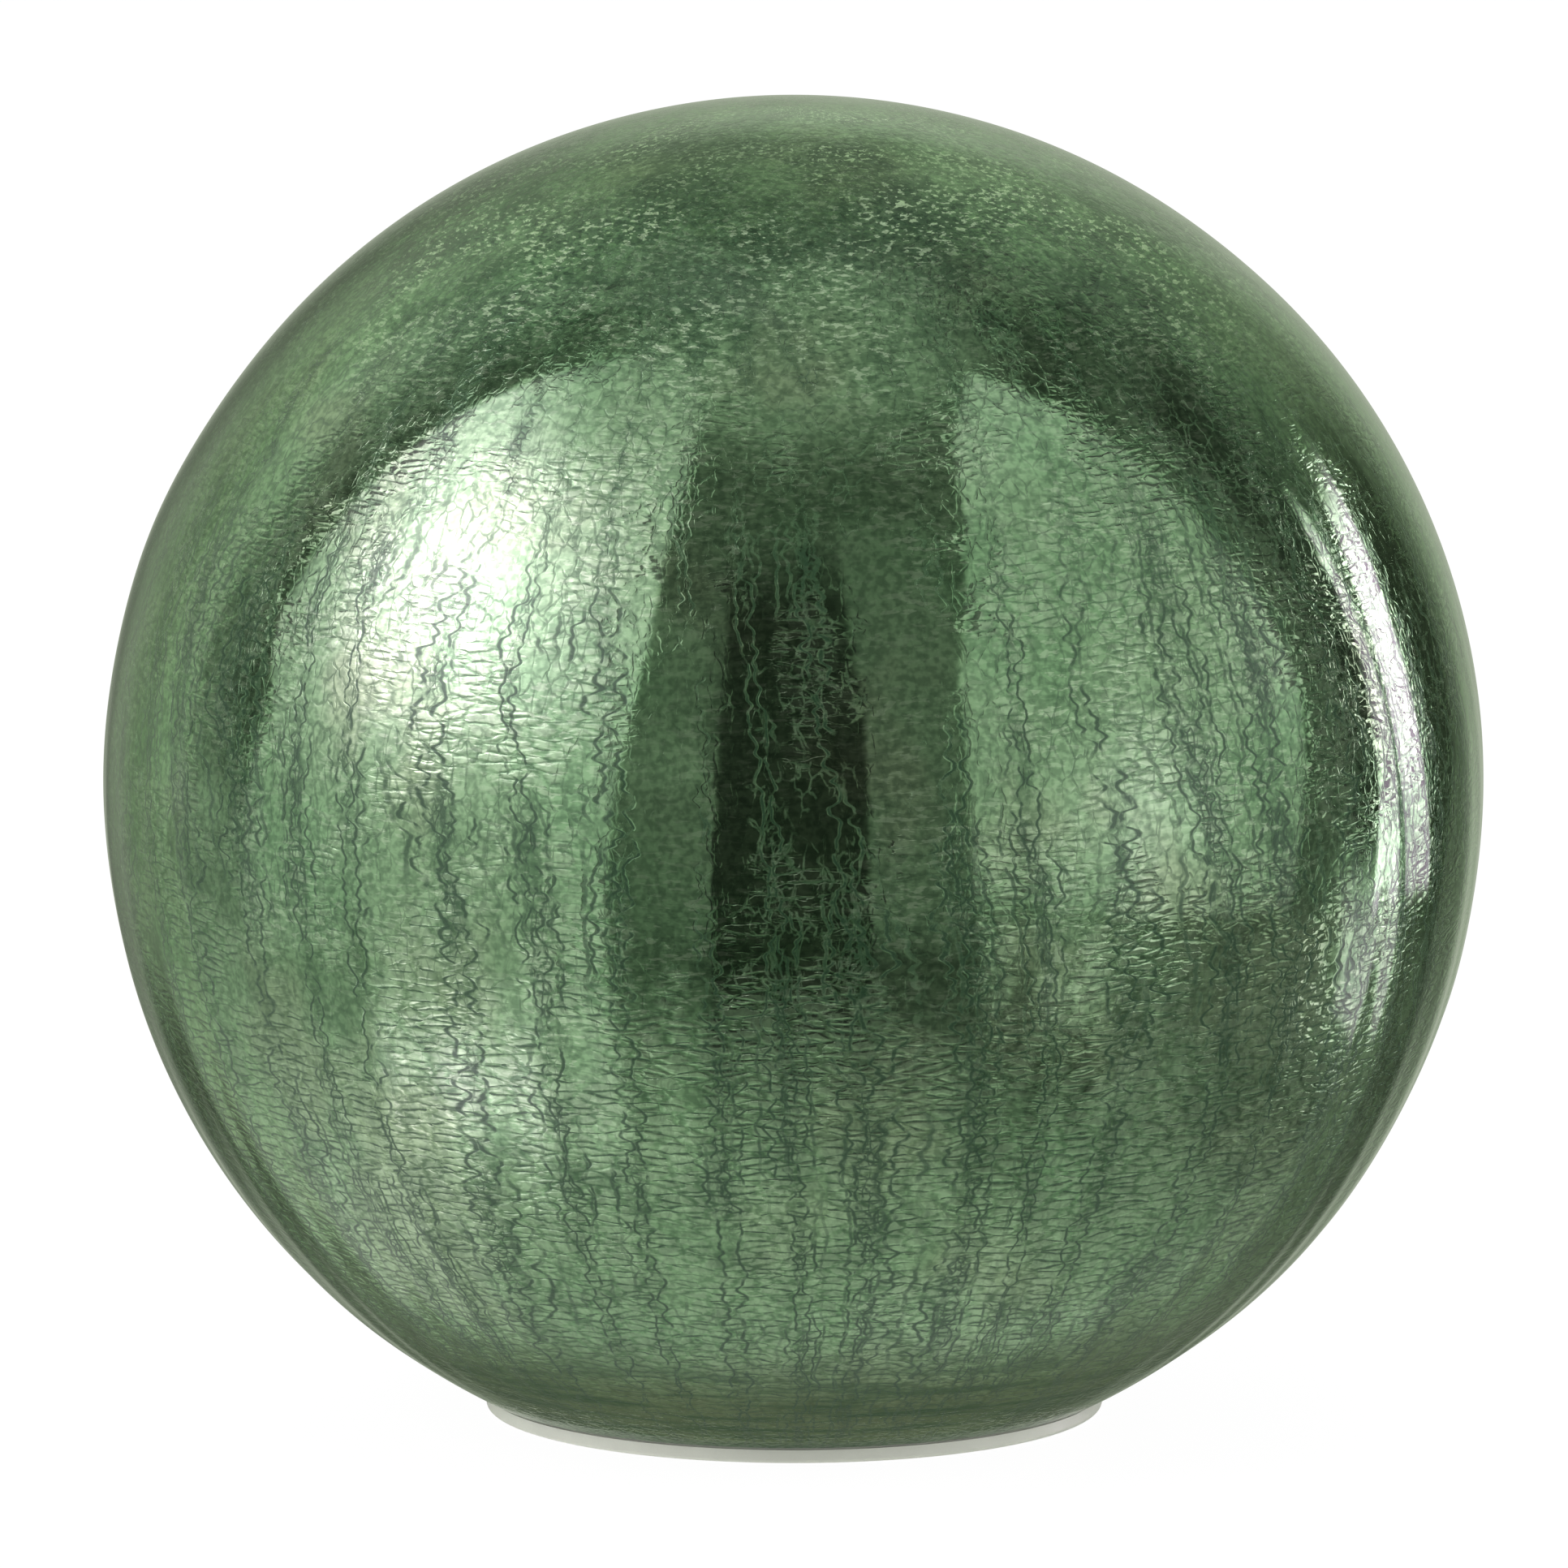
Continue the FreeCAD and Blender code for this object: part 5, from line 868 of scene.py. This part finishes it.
def photo_camera(settings):
    """Looks at the middle of the ball from the front and a little above, with the ball as large and as central as the
    photograph has it: a circle of radius ball_px about (middle_x, middle_y) in a frame of PHOTO_SIDE pixels."""
    ball_px, middle_x, middle_y = 849.7, 978.8, 966.4
    camera = bpy.data.cameras.new("photo_camera")
    holder = new_object("photo_camera", camera)
    camera.sensor_fit, camera.sensor_width = "HORIZONTAL", 36.0
    half_angle = math.asin(GLASS_RADIUS / settings.camera_distance)
    camera.lens = ball_px / math.tan(half_angle) * camera.sensor_width / PHOTO_SIDE
    camera.shift_x = (PHOTO_SIDE / 2 - middle_x) / PHOTO_SIDE
    camera.shift_y = (middle_y - PHOTO_SIDE / 2) / PHOTO_SIDE
    e = settings.camera_elevation
    back = Vector((0, -math.cos(e), math.sin(e)))
    holder.location = Vector(GLASS_CENTRE) + back * settings.camera_distance
    holder.rotation_euler = back.to_track_quat("Z", "Y").to_euler()
    bpy.context.scene.camera = holder


# Operators, one for each piece or group of like pieces


class BALL_OT_glass(bpy.types.Operator):
    """Blows the crackled ball with its mirror lining, and hides the plain one"""

    bl_idname = "glass_ball.glass"
    bl_label = "Blow the ball"

    def execute(self, context):
        sizes, finish = context.scene.glass_sizes, context.scene.glass_finish
        points = turned(glass_profile(sizes), sizes.columns)
        rows = sizes.rows  # the outer skin's rows come first, and only they are wavy
        skin = points[:rows] - np.array(GLASS_CENTRE)
        direction = skin / np.linalg.norm(skin, axis=-1, keepdims=True)
        points[:rows] += direction * blown_surface(direction, sizes)[..., None]
        points[0] = points[0].mean(0)
        mesh = turned_mesh("crackled_ball", points)
        add_meridian_map(mesh, sizes.rib_count)
        add_crowding(mesh)
        piece = new_object("crackled_ball", mesh)
        wear(piece, mirror_glass_material(finish, crack_group()))
        wear(frame["nodes"]["glass_ball"], piece.data.materials[0])
        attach(piece, "base")
        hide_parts("glass_ball")
        return {"FINISHED"}


class BALL_OT_finishes(bpy.types.Operator):
    """Gives each piece of the frame its finish"""

    bl_idname = "glass_ball.finishes"
    bl_label = "Finish the frame"

    def execute(self, context):
        grain = grain_group()
        slots = {row["node"]: row["material_slot"] for row in frame["record"]["subparts"]}
        made = {slot: plain_finish(slot, grain)[0] for slot in FINISHES if slot not in ("cell_wrap", "board_laminate")}
        made["frosted_plastic"] = frosted_plastic(context.scene.plastic_finish, grain)
        made["cell_wrap"] = cell_wrap(grain)
        made["board_laminate"] = board_laminate(grain)
        for node, piece in frame["nodes"].items():
            if node != "glass_ball":
                wear(piece, made[slots[node]])
        return {"FINISHED"}


class BALL_OT_words(bpy.types.Operator):
    """Raises the words for the switch's three places on the underside of the base"""

    bl_idname = "glass_ball.words"
    bl_label = "Mark the switch"

    def execute(self, context):
        knob_low, knob_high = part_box("switch_knob")
        x = (knob_low.x + knob_high.x) / 2
        size, relief, sunk = 2.0 * MM, 0.08 * MM, 0.55 * MM
        for word, across, along in (("ON", x, 9.0 * MM), ("OFF", x + 5.9 * MM, 0.0), ("TIMER", x, -9.0 * MM)):
            curve = bpy.data.curves.new("word_" + word.lower(), "FONT")
            curve.body, curve.size, curve.extrude = word, size, relief
            curve.align_x, curve.align_y, curve.resolution_u = "CENTER", "CENTER", 3
            source = bpy.data.objects.new("source", curve)
            context.scene.collection.objects.link(source)
            context.view_layer.update()
            mesh = bpy.data.meshes.new_from_object(source.evaluated_get(context.evaluated_depsgraph_get()))
            bpy.data.objects.remove(source)
            mesh.transform(Matrix.Translation((across, along, sunk)) @ Matrix.Rotation(math.pi, 4, "X"))
            piece = new_object("word_" + word.lower(), mesh)
            wear(piece, frame["nodes"]["base_tray"].data.materials[0])
            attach(piece, "base")
        return {"FINISHED"}


class BALL_OT_stage(bpy.types.Operator):
    """Sets up the camera, the pale floor, the lamps and what the glass reflects"""

    bl_idname = "glass_ball.stage"
    bl_label = "Set the stage"

    def execute(self, context):
        settings = context.scene.stage_sizes
        photo_camera(settings)
        pale_floor(settings)
        studio_surround(settings)
        studio_world()
        for name, lamp in LAMPS.items():
            area_lamp(name, *lamp)
        context.scene.view_settings.view_transform = "Standard"
        return {"FINISHED"}


class BALL_PT_panel(bpy.types.Panel):
    """Lists the pieces and their sizes"""

    bl_idname = "BALL_PT_panel"
    bl_label = "LED glass ball"
    bl_space_type = "VIEW_3D"
    bl_region_type = "UI"
    bl_category = "Glass ball"

    def draw(self, context):
        for operator in OPERATORS:
            self.layout.operator(operator.bl_idname)
        for name, group in GROUPS.items():
            box = self.layout.box()
            for key in group.__annotations__:
                box.prop(getattr(context.scene, name), key)


OPERATORS = (BALL_OT_stage, BALL_OT_glass, BALL_OT_finishes, BALL_OT_words)
GROUPS = {
    "glass_sizes": GlassSizes,
    "glass_finish": GlassFinish,
    "plastic_finish": PlasticFinish,
    "stage_sizes": StageSizes,
}


def register():
    for group in GROUPS.values():
        bpy.utils.register_class(group)
    for name, group in GROUPS.items():
        setattr(bpy.types.Scene, name, bpy.props.PointerProperty(type=group))
    for kind in (*OPERATORS, BALL_PT_panel):
        bpy.utils.register_class(kind)


def unregister():
    for kind in (BALL_PT_panel, *reversed(OPERATORS)):
        bpy.utils.unregister_class(kind)
    for name, group in GROUPS.items():
        delattr(bpy.types.Scene, name)
        bpy.utils.unregister_class(group)


def main():
    register()
    for operator in OPERATORS:
        family, name = operator.bl_idname.split(".")
        getattr(getattr(bpy.ops, family), name)()


if __name__ == "__main__":
    main()
